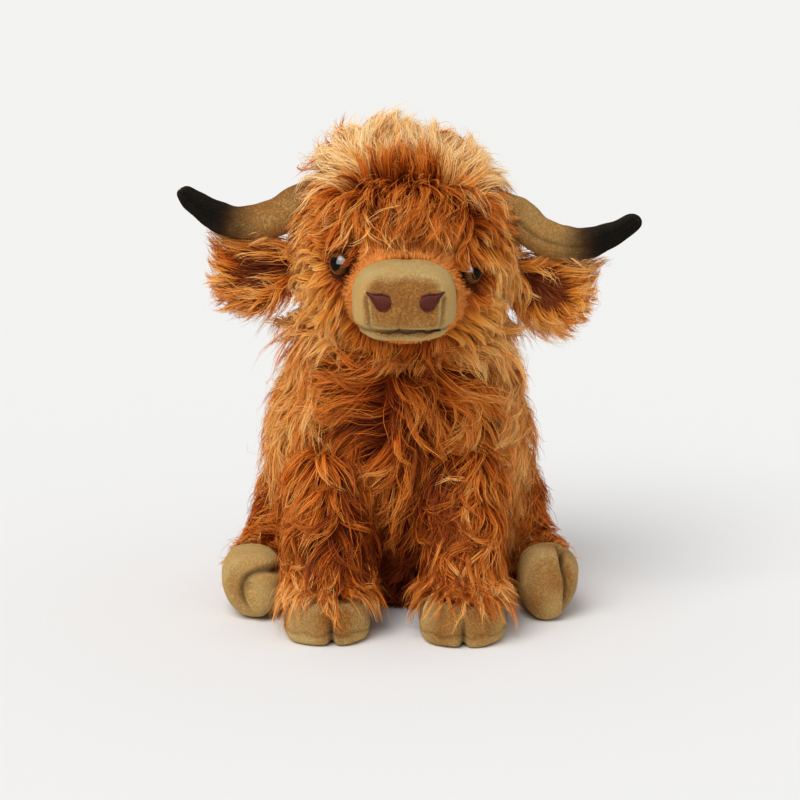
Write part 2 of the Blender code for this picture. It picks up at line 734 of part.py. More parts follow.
for side_name, side in SIDES.items():
    ear_root = head_point(EAR_ALONG_SHARE, EAR_UP_ANGLE, side) - Vector((side * EAR_SINK, 0.0, 0.0))
    ear_pivot = pivot("ear_pivot_" + side_name, ear_root, head_pivot)
    ear_form, outward, upward = ear_maker(side, ear_pivot)
    ear = ear_form("ear_" + side_name, 0.0, long_pile)
    hollow_radius = EAR_ROOT_RADIUS * (1 + BALL_SLACK_SHARE) + SEAT_GAP
    ear_hollow = ball("ear_hollow_" + side_name, ear_root, [hollow_radius] * 3, None, head_pivot)
    cut(head, ear_hollow)
    cut(head_guide, ear_hollow)
    cut(ear, head_guide)
    lining_start = EAR_LENGTH * LINING_START_SHARE
    lining_end = EAR_LENGTH * LINING_END_SHARE
    lining_half = EAR_WIDTH * LINING_WIDTH_SHARE / 2
    lining_outline = []
    for step in range(EAR_SIDES):
        angle = math.tau * step / EAR_SIDES
        along = (lining_start + lining_end) / 2 + (lining_end - lining_start) / 2 * math.cos(angle)
        corner = outward * along + upward * (lining_half * math.sin(angle))
        lining_outline.append((corner.x, corner.z))
    guide_name = "lining_guide_" + side_name
    lining_guide = prism(guide_name, lining_outline, -EAR_THICKNESS, EAR_THICKNESS, ear_pivot)
    patch("ear_lining_" + side_name, ear_form, lining_guide, LINING_PILE, dark_lining, ear_pivot)


# Front legs
def front_leg(side_name, side):
    """Make one front leg about its shoulder: a ball, a sleeve down to the ankle and a cloven hoof."""
    across = FRONT_LEG_SHIFT + side * FRONT_LEG_SPACING / 2
    back = body_side(SHOULDER_HEIGHT, abs(across), -1) + SHOULDER_SINK
    shoulder = Vector((across, back, SHOULDER_HEIGHT))
    leg_pivot = pivot("front_leg_pivot_" + side_name, shoulder)
    ankle = Vector((0.0, -ANKLE_FORWARD, FRONT_HOOF_HEIGHT + SEAT_GAP - SHOULDER_HEIGHT))
    down = ankle.normalized()
    forward = Vector((0.0, down.z, -down.y))
    places = []
    for along, radius in rounded_end(SHOULDER_RADIUS, LEG_ROUND_STEPS, math.radians(15.0), math.pi / 2):
        places.append(ring_place(down * along, radius, radius, (1, 0, 0), forward))
    for way_share, width_share, depth_share in LEG_SHARES:
        half_width = SHOULDER_RADIUS * width_share
        half_depth = SHOULDER_RADIUS * depth_share
        levelled = forward.lerp(Vector((0.0, -1.0, 0.0)), way_share)
        places.append(ring_place(ankle * way_share, half_width, half_depth, (1, 0, 0), levelled))
    leg = soft_form("front_leg_" + side_name, places, LEG_SIDES, long_pile, leg_pivot)

    socket_radius = SHOULDER_RADIUS * (1 + BALL_SLACK_SHARE) + SEAT_GAP
    hollow_radius = socket_radius * (1 + 2 * BALL_SLACK_SHARE)
    cut(body, ball("shoulder_hollow_" + side_name, shoulder, [hollow_radius] * 3))
    cut(body_guide, ball("shoulder_socket_" + side_name, shoulder, [socket_radius] * 3))
    cut(leg, body_guide)

    hoof_centre = ankle - Vector((0.0, FRONT_HOOF_TOE, FRONT_HOOF_HEIGHT + SEAT_GAP))
    hoof_places = []
    for up_share, width_share, depth_share in HOOF_SHARES:
        centre = hoof_centre + Vector((0.0, 0.0, FRONT_HOOF_HEIGHT * up_share))
        half_width = FRONT_HOOF_WIDTH * width_share / 2
        half_depth = FRONT_HOOF_DEPTH * depth_share / 2
        hoof_places.append(ring_place(centre, half_width, half_depth, (1, 0, 0), (0, 1, 0)))
    hoof = soft_form("front_hoof_" + side_name, hoof_places, HOOF_SIDES, tan_plush, leg_pivot, HOOF_ROUND)
    cleft_centre = hoof_centre - Vector((0.0, FRONT_HOOF_DEPTH / 2, 0.0))
    cleft_half = (CLEFT_WIDTH / 2, CLEFT_DEPTH / 2, FRONT_HOOF_HEIGHT * 2)
    cut(hoof, ball("front_cleft_" + side_name, cleft_centre, cleft_half, None, leg_pivot))


# Hind legs
def hind_leg(side_name, side):
    """Make one hind leg about its hip: a round haunch, a shin and an upturned hoof."""
    hip_plane = BODY_WIDTH / 2 * HIP_PLANE_SHARE
    hip = Vector((side * hip_plane, HIP_BACK, HAUNCH_RADIUS + HAUNCH_LIFT))
    hip_pivot = pivot("hind_leg_pivot_" + side_name, hip)
    ankle_rise = HIND_HOOF_HEIGHT / 2 - hip.z
    places = []
    for length_share, height_share, thickness_share in HAUNCH_SHARES:
        centre = Vector((0.0, -HAUNCH_RADIUS * length_share, 0.0))
        half_width = HAUNCH_THICKNESS * thickness_share
        half_height = HAUNCH_RADIUS * height_share
        places.append(ring_place(centre, half_width, half_height, (1, 0, 0), (0, 0, 1)))
    for reach_share, out_share, width_share, height_share in SHIN_SHARES:
        half_width = HIND_HOOF_WIDTH / 2 * width_share
        half_height = HIND_HOOF_HEIGHT / 2 * height_share
        rise = ankle_rise + half_height - HIND_HOOF_HEIGHT / 2 + HAUNCH_LIFT
        centre = Vector((side * SHIN_OUT * out_share, -SHIN_REACH * reach_share, rise))
        places.append(ring_place(centre, half_width, half_height, (1, 0, 0), (0, 0, 1)))
    leg = soft_form("hind_leg_" + side_name, places, LEG_SIDES, long_pile, hip_pivot)
    inner = side * SEAT_GAP
    reach = HAUNCH_RADIUS + SHIN_REACH + OVERRUN
    far = inner - side * reach
    low = (min(inner, far), -reach, -reach)
    high = (max(inner, far), reach, reach)
    cut(leg, block("hip_block_" + side_name, low, high, hip_pivot))

    recess_places = []
    for depth in (0.0, HAUNCH_THICKNESS + OVERRUN):
        centre = hip + Vector((side * depth, 0.0, 0.0))
        recess_places.append(ring_place(centre, HAUNCH_RECESS, HAUNCH_RECESS, (0, 1, 0), (0, 0, 1)))
    recess = soft_form("hip_recess_" + side_name, recess_places, GUIDE_SIDES, None)
    cut(body, recess)

    hoof_start = Vector((side * SHIN_OUT, -SHIN_REACH - SEAT_GAP, ankle_rise))
    hoof_places = []
    for along_share, width_share, height_share in HIND_HOOF_SHARES:
        centre = hoof_start - Vector((0.0, HIND_HOOF_LENGTH * along_share, 0.0))
        half_width = HIND_HOOF_WIDTH / 2 * width_share
        half_height = HIND_HOOF_HEIGHT / 2 * height_share
        hoof_places.append(ring_place(centre, half_width, half_height, (1, 0, 0), (0, 0, 1)))
    hoof = soft_form("hind_hoof_" + side_name, hoof_places, HOOF_SIDES, tan_plush, hip_pivot, HOOF_ROUND)
    cleft_out = side * HIND_HOOF_WIDTH / 2 * HIND_CLEFT_OUT_SHARE
    cleft_centre = hoof_start + Vector((cleft_out, -HIND_HOOF_LENGTH, HIND_HOOF_HEIGHT / 2))
    cleft_half = (CLEFT_WIDTH / 2, CLEFT_DEPTH / 2, HIND_HOOF_HEIGHT * 2 / 3)
    cut(hoof, ball("hind_cleft_" + side_name, cleft_centre, cleft_half, None, hip_pivot))


for side_name, side in SIDES.items():
    front_leg(side_name, side)
    hind_leg(side_name, side)

# Tail and its tuft
tail_root = Vector((0.0, body_side(TAIL_HEIGHT, 0.0, 1) - TAIL_SINK, TAIL_HEIGHT))
tail_pivot = pivot("tail_pivot", tail_root)
tail_way = Vector((0.0, math.sin(TAIL_SLOPE), -math.cos(TAIL_SLOPE)))
tail_across = Vector((1.0, 0.0, 0.0))
tail_places = []
for along, radius in rounded_end(TAIL_RADIUS, TAIL_ROUND_STEPS, math.radians(15.0), math.pi / 2):
    tail_places.append(ring_place(tail_way * along, radius, radius, tail_across, tail_way.cross(tail_across)))
tail_end = tail_way * TAIL_LENGTH
tail_places.append(ring_place(tail_end, TAIL_RADIUS, TAIL_RADIUS, tail_across, tail_way.cross(tail_across)))
tail = soft_form("tail", tail_places, TAIL_SIDES, long_pile, tail_pivot)
tail_socket_radius = TAIL_RADIUS * (1 + BALL_SLACK_SHARE) + SEAT_GAP
tail_hollow_radius = tail_socket_radius * (1 + BALL_SLACK_SHARE)
cut(body, ball("tail_hollow", tail_root, [tail_hollow_radius] * 3))
cut(body_guide, ball("tail_socket", tail_root, [tail_socket_radius] * 3))
cut(tail, body_guide)
tuft_start = tail_end + tail_way * SEAT_GAP
tuft_places = []
for along_share, radius_share in TUFT_SHARES:
    radius = TUFT_RADIUS * radius_share
    centre = tuft_start + tail_way * (TUFT_LENGTH * along_share)
    tuft_places.append(ring_place(centre, radius, radius, tail_across, tail_way.cross(tail_across)))
soft_form("tail_tuft", tuft_places, TAIL_SIDES, pale_pile, tail_pivot)
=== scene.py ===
# A seated highland-cow soft toy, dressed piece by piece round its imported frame.
# Metres, +Z up. The toy faces -Y and sits on the floor at z = 0.

import math

import bmesh
import bpy
import numpy as np
from mathutils import Matrix, Vector
from mathutils.bvhtree import BVHTree


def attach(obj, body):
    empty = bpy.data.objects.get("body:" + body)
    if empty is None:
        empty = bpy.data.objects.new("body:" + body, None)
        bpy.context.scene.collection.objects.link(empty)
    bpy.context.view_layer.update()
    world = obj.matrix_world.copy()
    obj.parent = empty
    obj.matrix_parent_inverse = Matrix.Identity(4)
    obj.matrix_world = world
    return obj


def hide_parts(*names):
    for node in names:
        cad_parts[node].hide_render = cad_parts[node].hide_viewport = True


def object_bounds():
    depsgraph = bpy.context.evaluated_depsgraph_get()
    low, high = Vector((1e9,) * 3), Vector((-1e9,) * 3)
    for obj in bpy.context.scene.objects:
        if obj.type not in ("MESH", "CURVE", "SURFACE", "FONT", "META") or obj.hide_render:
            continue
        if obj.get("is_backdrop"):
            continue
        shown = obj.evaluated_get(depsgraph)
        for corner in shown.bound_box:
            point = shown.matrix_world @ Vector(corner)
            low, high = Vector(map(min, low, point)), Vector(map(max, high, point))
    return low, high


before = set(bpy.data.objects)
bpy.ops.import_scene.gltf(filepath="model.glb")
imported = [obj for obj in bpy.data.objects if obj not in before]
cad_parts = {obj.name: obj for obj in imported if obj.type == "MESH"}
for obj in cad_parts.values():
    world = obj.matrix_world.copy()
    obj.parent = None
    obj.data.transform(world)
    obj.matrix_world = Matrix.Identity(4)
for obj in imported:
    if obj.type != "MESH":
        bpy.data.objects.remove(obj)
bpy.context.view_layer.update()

# Studio
# A pale floor under a pale sky, lit by one broad lamp from the upper left and by the sky itself.
# Glossy reflections see a darker room with one bright window instead, which gives the eyes their glint.
# The camera stands in front of the toy, a little above it, and looks down by twelve degrees.
CAMERA_RISE = math.radians(12.0)
CAMERA_DISTANCE = 1.3
CAMERA_LENS = 117.0
LOOK_AT = Vector((0.0, -0.024, 0.1022))
FLOOR_SIZE = 60.0
FLOOR_COLOUR = (240, 240, 239)
MIRRORED_FLOOR = (120, 96, 72)
ROOM_STRENGTH = 0.06
WINDOW_STRENGTH = 5.5
WINDOW_COLOUR = (0.92, 0.96, 1.0, 1.0)
WINDOW_WAY = Vector((-0.20, -0.93, 0.30)).normalized()
WINDOW_HALF = math.radians(40.0)
WINDOW_EDGE = math.radians(4.0)
SKY_STRENGTH = 0.5
SKY_COLOUR = (1.0, 1.0, 1.0, 1.0)
LAMP_STRENGTH = 2.12
LAMP_WIDTH = math.radians(42.0)
LAMP_PLACE = Vector((-0.50, -0.85, 1.22))


def paint(red, green, blue):
    """Turn a colour as the eye sees it, 0 to 255, into the light it reflects."""
    shades = []
    for value in (red, green, blue):
        share = value / 255
        shades.append(share / 12.92 if share <= 0.04045 else ((share + 0.055) / 1.055) ** 2.4)
    return (*shades, 1.0)


class Value:
    """A number or colour that varies over a surface, so that shader maths reads as plain maths."""

    def __init__(self, finish, socket):
        self.finish = finish
        self.socket = socket

    def maths(self, operation, one, other=0.0):
        return self.finish.node("ShaderNodeMath", {"operation": operation}, {0: one, 1: other})

    def __add__(self, other):
        return self.maths("ADD", self, other)

    def __radd__(self, other):
        return self.maths("ADD", other, self)

    def __sub__(self, other):
        return self.maths("SUBTRACT", self, other)

    def __rsub__(self, other):
        return self.maths("SUBTRACT", other, self)

    def __mul__(self, other):
        return self.maths("MULTIPLY", self, other)

    def __rmul__(self, other):
        return self.maths("MULTIPLY", other, self)

    def wave(self):
        return self.maths("SINE", self)

    def part(self, axis):
        return self.finish.node("ShaderNodeSeparateXYZ", None, {0: self}, axis)

    def ramp(self, *stops):
        return self.finish.node("ShaderNodeValToRGB", {"stops": stops}, {0: self})

    def between(self, low, high, new_low=0.0, new_high=1.0):
        places = {0: self, 1: low, 2: high, 3: new_low, 4: new_high}
        return self.finish.node("ShaderNodeMapRange", {"interpolation_type": "SMOOTHSTEP"}, places)


class Finish:
    """The shader nodes of one material, or of the sky."""

    def __init__(self, name, tree=None):
        if tree is None:
            self.material = bpy.data.materials.new(name)
            self.material.use_nodes = True
            tree = self.material.node_tree
        tree.nodes.clear()
        self.tree = tree

    def node(self, kind, settings=None, inputs=None, output=0):
        made = self.tree.nodes.new(kind)
        for key, value in (settings or {}).items():
            if key == "stops":
                stops = made.color_ramp.elements
                for place, _ in value[1:-1]:
                    stops.new(place)
                stops[0].position = value[0][0]
                stops[-1].position = value[-1][0]
                for stop, (_, colour) in zip(stops, value):
                    stop.color = colour
            else:
                setattr(made, key, value)
        for key, value in (inputs or {}).items():
            if isinstance(value, Value):
                self.tree.links.new(value.socket, made.inputs[key])
            else:
                made.inputs[key].default_value = value
        return Value(self, made.outputs[output]) if made.outputs else None

    def place(self):
        """The point of the surface, in the toy's own metres."""
        return self.node("ShaderNodeTexCoord", None, None, 3)

    def noise(self, size, detail=3.0, where=None, rough=0.55):
        """Even cloudy variation, 0 to 1, of one grain size in metres."""
        inputs = {"Vector": where or self.place(), "Scale": 1.0 / size, "Detail": detail, "Roughness": rough}
        return self.node("ShaderNodeTexNoise", None, inputs)

    def marks(self, name):
        """The number that marked() keeps for each point of a piece."""
        return self.node("ShaderNodeAttribute", {"attribute_name": name}, None, 2)

    def mix(self, share, one, other):
        """Mix two colours."""
        return self.node("ShaderNodeMix", {"data_type": "RGBA"}, {0: share, 6: one, 7: other}, 2)

    def bump(self, height, depth, strength=1.0):
        """Raise the surface by a varying height, at most depth metres."""
        return self.node("ShaderNodeBump", None, {"Strength": strength, "Distance": depth, "Height": height})

    def surface(self, colour, roughness, **more):
        """End in a Principled shader. A name with underscores is the socket with spaces."""
        inputs = {"Base Color": colour, "Roughness": roughness}
        for key, value in more.items():
            inputs[key.replace("_", " ")] = value
        shader = self.node("ShaderNodeBsdfPrincipled", None, inputs)
        self.node("ShaderNodeOutputMaterial", None, {0: shader})
        return self.material

    def ray(self, kind):
        """1 where a ray of a kind meets the surface, else 0."""
        return self.node("ShaderNodeLightPath", None, None, "Is " + kind + " Ray")


scene = bpy.context.scene
scene.view_settings.view_transform = "Standard"

camera_data = bpy.data.cameras.new("camera")
camera_data.lens = CAMERA_LENS
camera = bpy.data.objects.new("camera", camera_data)
camera_back = Vector((0.0, -math.cos(CAMERA_RISE), math.sin(CAMERA_RISE)))
camera.location = LOOK_AT + camera_back * CAMERA_DISTANCE
camera.rotation_euler = (math.pi / 2 - CAMERA_RISE, 0.0, 0.0)
scene.collection.objects.link(camera)
scene.camera = camera

lamp_data = bpy.data.lights.new("broad_lamp", "SUN")
lamp_data.energy = LAMP_STRENGTH
lamp_data.angle = LAMP_WIDTH
lamp = bpy.data.objects.new("broad_lamp", lamp_data)
lamp.rotation_euler = LAMP_PLACE.to_track_quat("Z", "Y").to_euler()
scene.collection.objects.link(lamp)

world = bpy.data.worlds.new("sky")
world.use_nodes = True
scene.world = world
sky = Finish("sky", world.node_tree)
light = sky.node("ShaderNodeBackground", None, {0: SKY_COLOUR, 1: SKY_STRENGTH})
backdrop = sky.node("ShaderNodeBackground", None, {0: paint(*FLOOR_COLOUR), 1: 1.0})
sky_mix = sky.node("ShaderNodeMixShader", None, {0: sky.ray("Camera"), 1: light, 2: backdrop})
outlook = sky.node("ShaderNodeTexCoord", None, None, "Generated")
toward = sky.node("ShaderNodeVectorMath", {"operation": "DOT_PRODUCT"}, {0: outlook, 1: WINDOW_WAY}, "Value")
edge, full = math.cos(WINDOW_HALF + WINDOW_EDGE), math.cos(WINDOW_HALF)
window = toward.between(edge, full, ROOM_STRENGTH, WINDOW_STRENGTH)
mirrored = sky.node("ShaderNodeBackground", None, {0: WINDOW_COLOUR, 1: window})
sky_mix = sky.node("ShaderNodeMixShader", None, {0: sky.ray("Glossy"), 1: sky_mix, 2: mirrored})
sky.node("ShaderNodeOutputWorld", None, {0: sky_mix})

floor_mesh = bmesh.new()
bmesh.ops.create_grid(floor_mesh, x_segments=1, y_segments=1, size=FLOOR_SIZE / 2)
floor_data = bpy.data.meshes.new("floor")
floor_mesh.to_mesh(floor_data)
floor = bpy.data.objects.new("floor", floor_data)
scene.collection.objects.link(floor)
floor_finish = Finish("floor")
floor_shade = floor_finish.mix(floor_finish.ray("Glossy"), paint(*FLOOR_COLOUR), paint(*MIRRORED_FLOOR))
floor_data.materials.append(floor_finish.surface(floor_shade, 0.9, Specular_IOR_Level=0.0))
floor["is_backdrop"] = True

# Body
# A pear of knitted backing with long acrylic pile, filled with loose polyester fibre and sewn shut.
# The pile is brushed down and out from the chest, and lies in loose wavy locks.
BODY_HEIGHT = 0.136
BODY_WIDTH = 0.127
BODY_DEPTH = 0.114
BODY_LEAN = 0.035
# rows of height, width, depth and lean
BODY_SHARES = (
    (0.00, 0.69, 0.74, 0.00),
    (0.03, 0.79, 0.85, 0.00),
    (0.11, 0.88, 0.95, 0.03),
    (0.24, 0.95, 1.00, 0.09),
    (0.38, 0.98, 1.00, 0.23),
    (0.53, 1.00, 0.98, 0.43),
    (0.68, 1.00, 0.95, 0.63),
    (0.81, 0.95, 0.88, 0.80),
    (0.92, 0.86, 0.79, 0.91),
    (1.00, 0.75, 0.68, 1.00),
)
BODY_PILE = 0.0085
BODY_RAISED = 0.0012
BODY_TRIMMED = 0.004
BODY_SIDES = 48
# how many steps each lock of pile is combed in, and how far it turns to the pile's way in each
LOCK_STEPS = 8
LOCK_TURN = 0.45
# how near the floor a fibre may come
FLOOR_CLEAR = 0.0006
# the width of one fibre, and of the loose ones that have come out of the locks
FIBRE_WIDTH = 0.00042
LOOSE_WIDTH = 0.00030
LOOSE_CLUMP = (0.0, 0.35)
LOOSE_POINTS = 6
LOOSE_CURL = 1.3
# the map that a fibre's finish reads: its tone across, in this many columns, and its length upwards
BAKE_MAP = "OFBake"
TONES = 48
MAP_EDGE = 0.01
COLUMN_EDGE = 0.15
ALONG_X = np.array((1.0, 0.0, 0.0))
ALONG_Y = np.array((0.0, 1.0, 0.0))
ALONG_Z = np.array((0.0, 0.0, 1.0))
DOWN = -ALONG_Z
LEFT_RIGHT = {"left": -1, "right": 1}


def rising(values, start, width):
    """0 below the start, 1 a width above it, and even between."""
    return np.clip((values - start) / width, 0, 1)


def falling(values, start, width):
    """0 above the start, 1 a width below it, and even between."""
    return np.clip((start - values) / width, 0, 1)


def columns(places):
    """X, Y and Z of many places, each as a column."""
    return places.T[:, :, None]


def ring_place(centre, half_across, half_up, across=ALONG_X, up=ALONG_Z):
    """The matrix that lays a unit ring at a centre, stretched along two directions."""
    across = Vector(across).normalized()
    up = Vector(up).normalized()
    parts = (across * half_across, up * half_up, across.cross(up), Vector(centre))
    return Matrix([[*row] for row in zip(*parts)] + [[0.0, 0.0, 0.0, 1.0]])


def face_order(face):
    """A number that puts the faces of a tube in the same order on every run."""
    numbers = [corner.index for corner in face.verts]
    return min(numbers) * 100000.0 + sum(numbers)


def drawn(places, sides, roundness=2.0):
    """Draw one ring on from place to place and close both ends, as a tube of cloth is sewn."""
    mesh = bmesh.new()
    bmesh.ops.create_circle(mesh, cap_ends=False, radius=1.0, segments=sides)
    for point in mesh.verts:
        size = abs(point.co.x) ** roundness + abs(point.co.y) ** roundness
        point.co *= size ** (-1.0 / roundness)
    bmesh.ops.transform(mesh, matrix=places[0], verts=mesh.verts)
    ring = mesh.edges[:]
    bmesh.ops.contextual_create(mesh, geom=ring)
    for before, after in zip(places, places[1:]):
        grown = bmesh.ops.extrude_edge_only(mesh, edges=ring)["geom"]
        points = [item for item in grown if isinstance(item, bmesh.types.BMVert)]
        known = set(points)
        edges = [item for item in grown if isinstance(item, bmesh.types.BMEdge)]
        ring = [edge for edge in edges if all(end in known for end in edge.verts)]
        bmesh.ops.transform(mesh, matrix=after @ before.inverted(), verts=points)
    bmesh.ops.contextual_create(mesh, geom=ring)
    bmesh.ops.recalc_face_normals(mesh, faces=mesh.faces)
    mesh.verts.index_update()
    mesh.faces.sort(key=face_order)
    return mesh


def smoothed(rows, count):
    """Read a table of rows at evenly spaced steps, along a smooth curve through it."""
    rows = np.array(rows, float)
    padded = np.vstack((2 * rows[0] - rows[1], rows, 2 * rows[-1] - rows[-2]))
    read = []
    for step in np.linspace(0.0, len(rows) - 1.0, count):
        index = min(int(step), len(rows) - 2)
        t = step - index
        a, b, c, d = padded[index:index + 4]
        bend = 2 * a - 5 * b + 4 * c - d
        twist = 3 * b - a - 3 * c + d
        read.append(0.5 * (2 * b + (c - a) * t + bend * t**2 + twist * t**3))
    return read


def piece(name, mesh, material, body, slot, *nodes, fill=None):
    """Turn a mesh into a finished piece that rides on a body and stands for its solids."""
    if isinstance(mesh, bmesh.types.BMesh):
        data = bpy.data.meshes.new(name)
        mesh.to_mesh(data)
        mesh.free()
    else:
        data = mesh
        data.name = name
    data.polygons.foreach_set("use_smooth", [True] * len(data.polygons))
    data.materials.append(material)
    made = bpy.data.objects.new(name, data)
    scene.collection.objects.link(made)
    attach(made, body)
    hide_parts(*nodes)
    return made


def unit(ways):
    """Bring rows of directions to length 1."""
    return ways / np.maximum(np.linalg.norm(ways, axis=-1, keepdims=True), 1e-9)


def dot(one, other):
    """Row by row product of two arrays of directions."""
    return (one * other).sum(-1, keepdims=True)


def drift(places, grain, seed):
    """Smooth, seeded variation over places, about -1 to 1, with a grain in metres."""
    generator = np.random.default_rng(seed)
    waves = generator.normal(size=(7, 3)) * 3.6 / grain
    return np.sin(places @ waves.T + generator.uniform(0, math.tau, 7)).sum(-1, keepdims=True) / 2.6


def laid(way, outs, hug):
    """Lay the pile's way down on the cover: flat where hug is 1."""
    return unit(way - outs * dot(way, outs) * hug)


def swirled(way, places, outs, hug, *swirls):
    """Turn the pile's way aside by drifts of a grain, seed and strength, and lay it on the cover."""
    swirl = sum(drift(places, grain, seed) * strength for grain, seed, strength in swirls)
    way = way * np.cos(swirl) + np.cross(outs, way) * np.sin(swirl)
    return laid(way, outs, hug)


def scattered(mesh, spacing, generator, keep):
    """Scatter lock roots over a cover, about evenly, where keep(places, outs) holds."""
    bmesh.ops.triangulate(mesh, faces=mesh.faces)
    corners = np.array([[corner.co for corner in face.verts] for face in mesh.faces])
    sides = np.cross(corners[:, 1] - corners[:, 0], corners[:, 2] - corners[:, 0])
    areas = np.linalg.norm(sides, axis=1)
    count = int(areas.sum() / 2 / spacing**2 * 5)
    picks = generator.choice(len(areas), count, p=areas / areas.sum())
    one, other = generator.random((2, count, 1))
    flip = one + other > 1
    one, other = np.where(flip, 1 - one, one), np.where(flip, 1 - other, other)
    first, second, third = corners[picks].transpose(1, 0, 2)
    places = first + (second - first) * one + (third - first) * other
    outs = unit(sides[picks])
    around = np.array([(i, j, k) for i in (-1, 0, 1) for j in (-1, 0, 1) for k in (-1, 0, 1)])
    taken = {}
    chosen = []
    for index in np.flatnonzero(keep(places, outs)):
        place = places[index]
        cell = (place // spacing).astype(int)
        near = [taken[key] for key in map(tuple, cell + around) if key in taken]
        if all(np.abs(places[other] - place).sum() > spacing for other in near):
            taken[tuple(cell)] = index
            chosen.append(index)
    return places[chosen], outs[chosen]


def combed(mesh, roots, outs, flow, lengths, heights, lift=0.75, hold=0.5, bends=None, speed=1.9):
    """Lead each lock out of the backing and along the flow of the pile, turned aside by its bends.

    The lock leaves the cover by its lift and rises to its height at a speed. Above that it is held down,
    except under the toy, where it hangs free.
    """
    tree = BVHTree.FromBMesh(mesh)
    bends = np.zeros((len(roots), 2)) if bends is None else bends
    place = roots.copy()
    out = outs.copy()
    way = unit(outs * lift + flow(roots, outs) * (1 - lift))
    line, lifts = [place], [out]
    for step in range(1, LOCK_STEPS + 1):
        share = step / LOCK_STEPS
        ahead = flow(place, out)
        angle = bends[:, :1] + bends[:, 1:] * share
        ahead = ahead * np.cos(angle) + np.cross(out, ahead) * np.sin(angle)
        way = unit(way * (1 - LOCK_TURN) + ahead * LOCK_TURN)
        place = place + way * lengths / LOCK_STEPS
        out = np.empty_like(place)
        rise = np.empty((len(place), 1))
        for index, point in enumerate(place):
            near, normal, _, gap = tree.find_nearest(point)
            away = Vector(point) - near
            buried = away.dot(normal) < 0
            out[index] = normal if gap <= 1e-6 else (-away / gap if buried else away / gap)
            rise[index] = -gap if buried else gap
        low = heights * np.minimum(1.0, share * speed)
        push = np.clip(low - rise, 0.0, None)
        pull = np.clip(rise - low * 1.35 - 0.001, 0.0, None) * hold * (out[:, 2:] > -0.35)
        place = place + out * (push - pull)
        line.append(place)
        lifts.append(out)
    return np.stack(line, 1), np.stack(lifts, 1)


def fibre_mesh(points, faces, spots, tones):
    """Make one mesh of many alike strands, each with its tone and its length on the bake map.

    The points are listed strand by strand. One strand's faces and their spots, across and along it from
    0 to 1, serve them all.
    """
    count, each, _ = points.shape
    corners = np.concatenate(faces)
    spots = np.concatenate(spots)
    starts = np.cumsum([0] + [len(face) for face in faces[:-1]])
    shift = np.arange(count)[:, None]
    data = bpy.data.meshes.new("strands")
    data.vertices.add(count * each)
    data.vertices.foreach_set("co", points.astype(np.float32).ravel())
    data.loops.add(count * len(corners))
    data.loops.foreach_set("vertex_index", (corners + shift * each).ravel().astype(np.int32))
    data.polygons.add(count * len(faces))
    data.polygons.foreach_set("loop_start", (starts + shift * len(corners)).ravel().astype(np.int32))
    data.update(calc_edges=True)
    slots = np.clip((tones * TONES).astype(int), 0, TONES - 1)
    u = (slots[:, None] + COLUMN_EDGE + (1 - 2 * COLUMN_EDGE) * spots[:, 0]) / TONES
    v = np.broadcast_to(MAP_EDGE + (1 - 2 * MAP_EDGE) * spots[:, 1], u.shape)
    layer = data.uv_layers.new(name=BAKE_MAP)
    layer.data.foreach_set("uv", np.stack((u, v), -1).ravel().astype(np.float32))
    return data


def tubes(paths, widths, tones, sides):
    """Make a closed, pointed tube along each path."""
    count, steps, _ = paths.shape
    way = unit(np.gradient(paths, axis=1))
    guide = np.repeat(unit(np.cross(way[:, :1], np.array((0.31, 0.52, 0.79)))), steps, 1)
    across = unit(guide - way * dot(guide, way))
    over = np.cross(way, across)
    turns = np.arange(sides) * math.tau / sides
    ring = across[:, :-1, None] * np.cos(turns)[:, None] + over[:, :-1, None] * np.sin(turns)[:, None]
    rings = paths[:, :-1, None] + ring * widths[:, :-1, None, None] / 2
    points = np.concatenate((rings.reshape(count, -1, 3), paths[:, -1:]), 1)
    tip = points.shape[1] - 1
    faces, spots = [], []
    for step in range(steps - 1):
        for side in range(sides):
            low, high, after = step * sides, step * sides + sides, (side + 1) % sides
            if step < steps - 2:
                faces.append([low + side, low + after, high + after, high + side])
                spots.append([(side, step), (side + 1, step), (side + 1, step + 1), (side, step + 1)])
            else:
                faces.append([low + side, low + after, tip])
                spots.append([(side, step), (side + 1, step), (side + 0.5, step + 1)])
    faces.append(list(range(sides))[::-1])
    spots.append([(side, 0.2 * (side % 2)) for side in range(sides)][::-1])
    return fibre_mesh(points, faces, [np.array(spot) / (sides, steps - 1) for spot in spots], tones)


def blades(paths, outs, widths, tones):
    """Make a flat, pointed fibre along each path."""
    count, steps, _ = paths.shape
    way = unit(np.gradient(paths, axis=1))
    across = unit(np.cross(way, outs)) * widths[..., None] / 2
    pairs = np.stack((paths - across, paths + across), 2)[:, :-1].reshape(count, -1, 3)
    points = np.concatenate((pairs, paths[:, -1:]), 1)
    faces, spots = [], []
    for step in range(steps - 2):
        faces.append([2 * step, 2 * step + 1, 2 * step + 3, 2 * step + 2])
        spots.append([(0, step), (1, step), (1, step + 1), (0, step + 1)])
    faces.append([2 * steps - 4, 2 * steps - 3, 2 * steps - 2])
    spots.append([(0, steps - 2), (1, steps - 2), (0.5, steps - 1)])
    return fibre_mesh(points, faces, [np.array(spot) / (1, steps - 1) for spot in spots], tones)


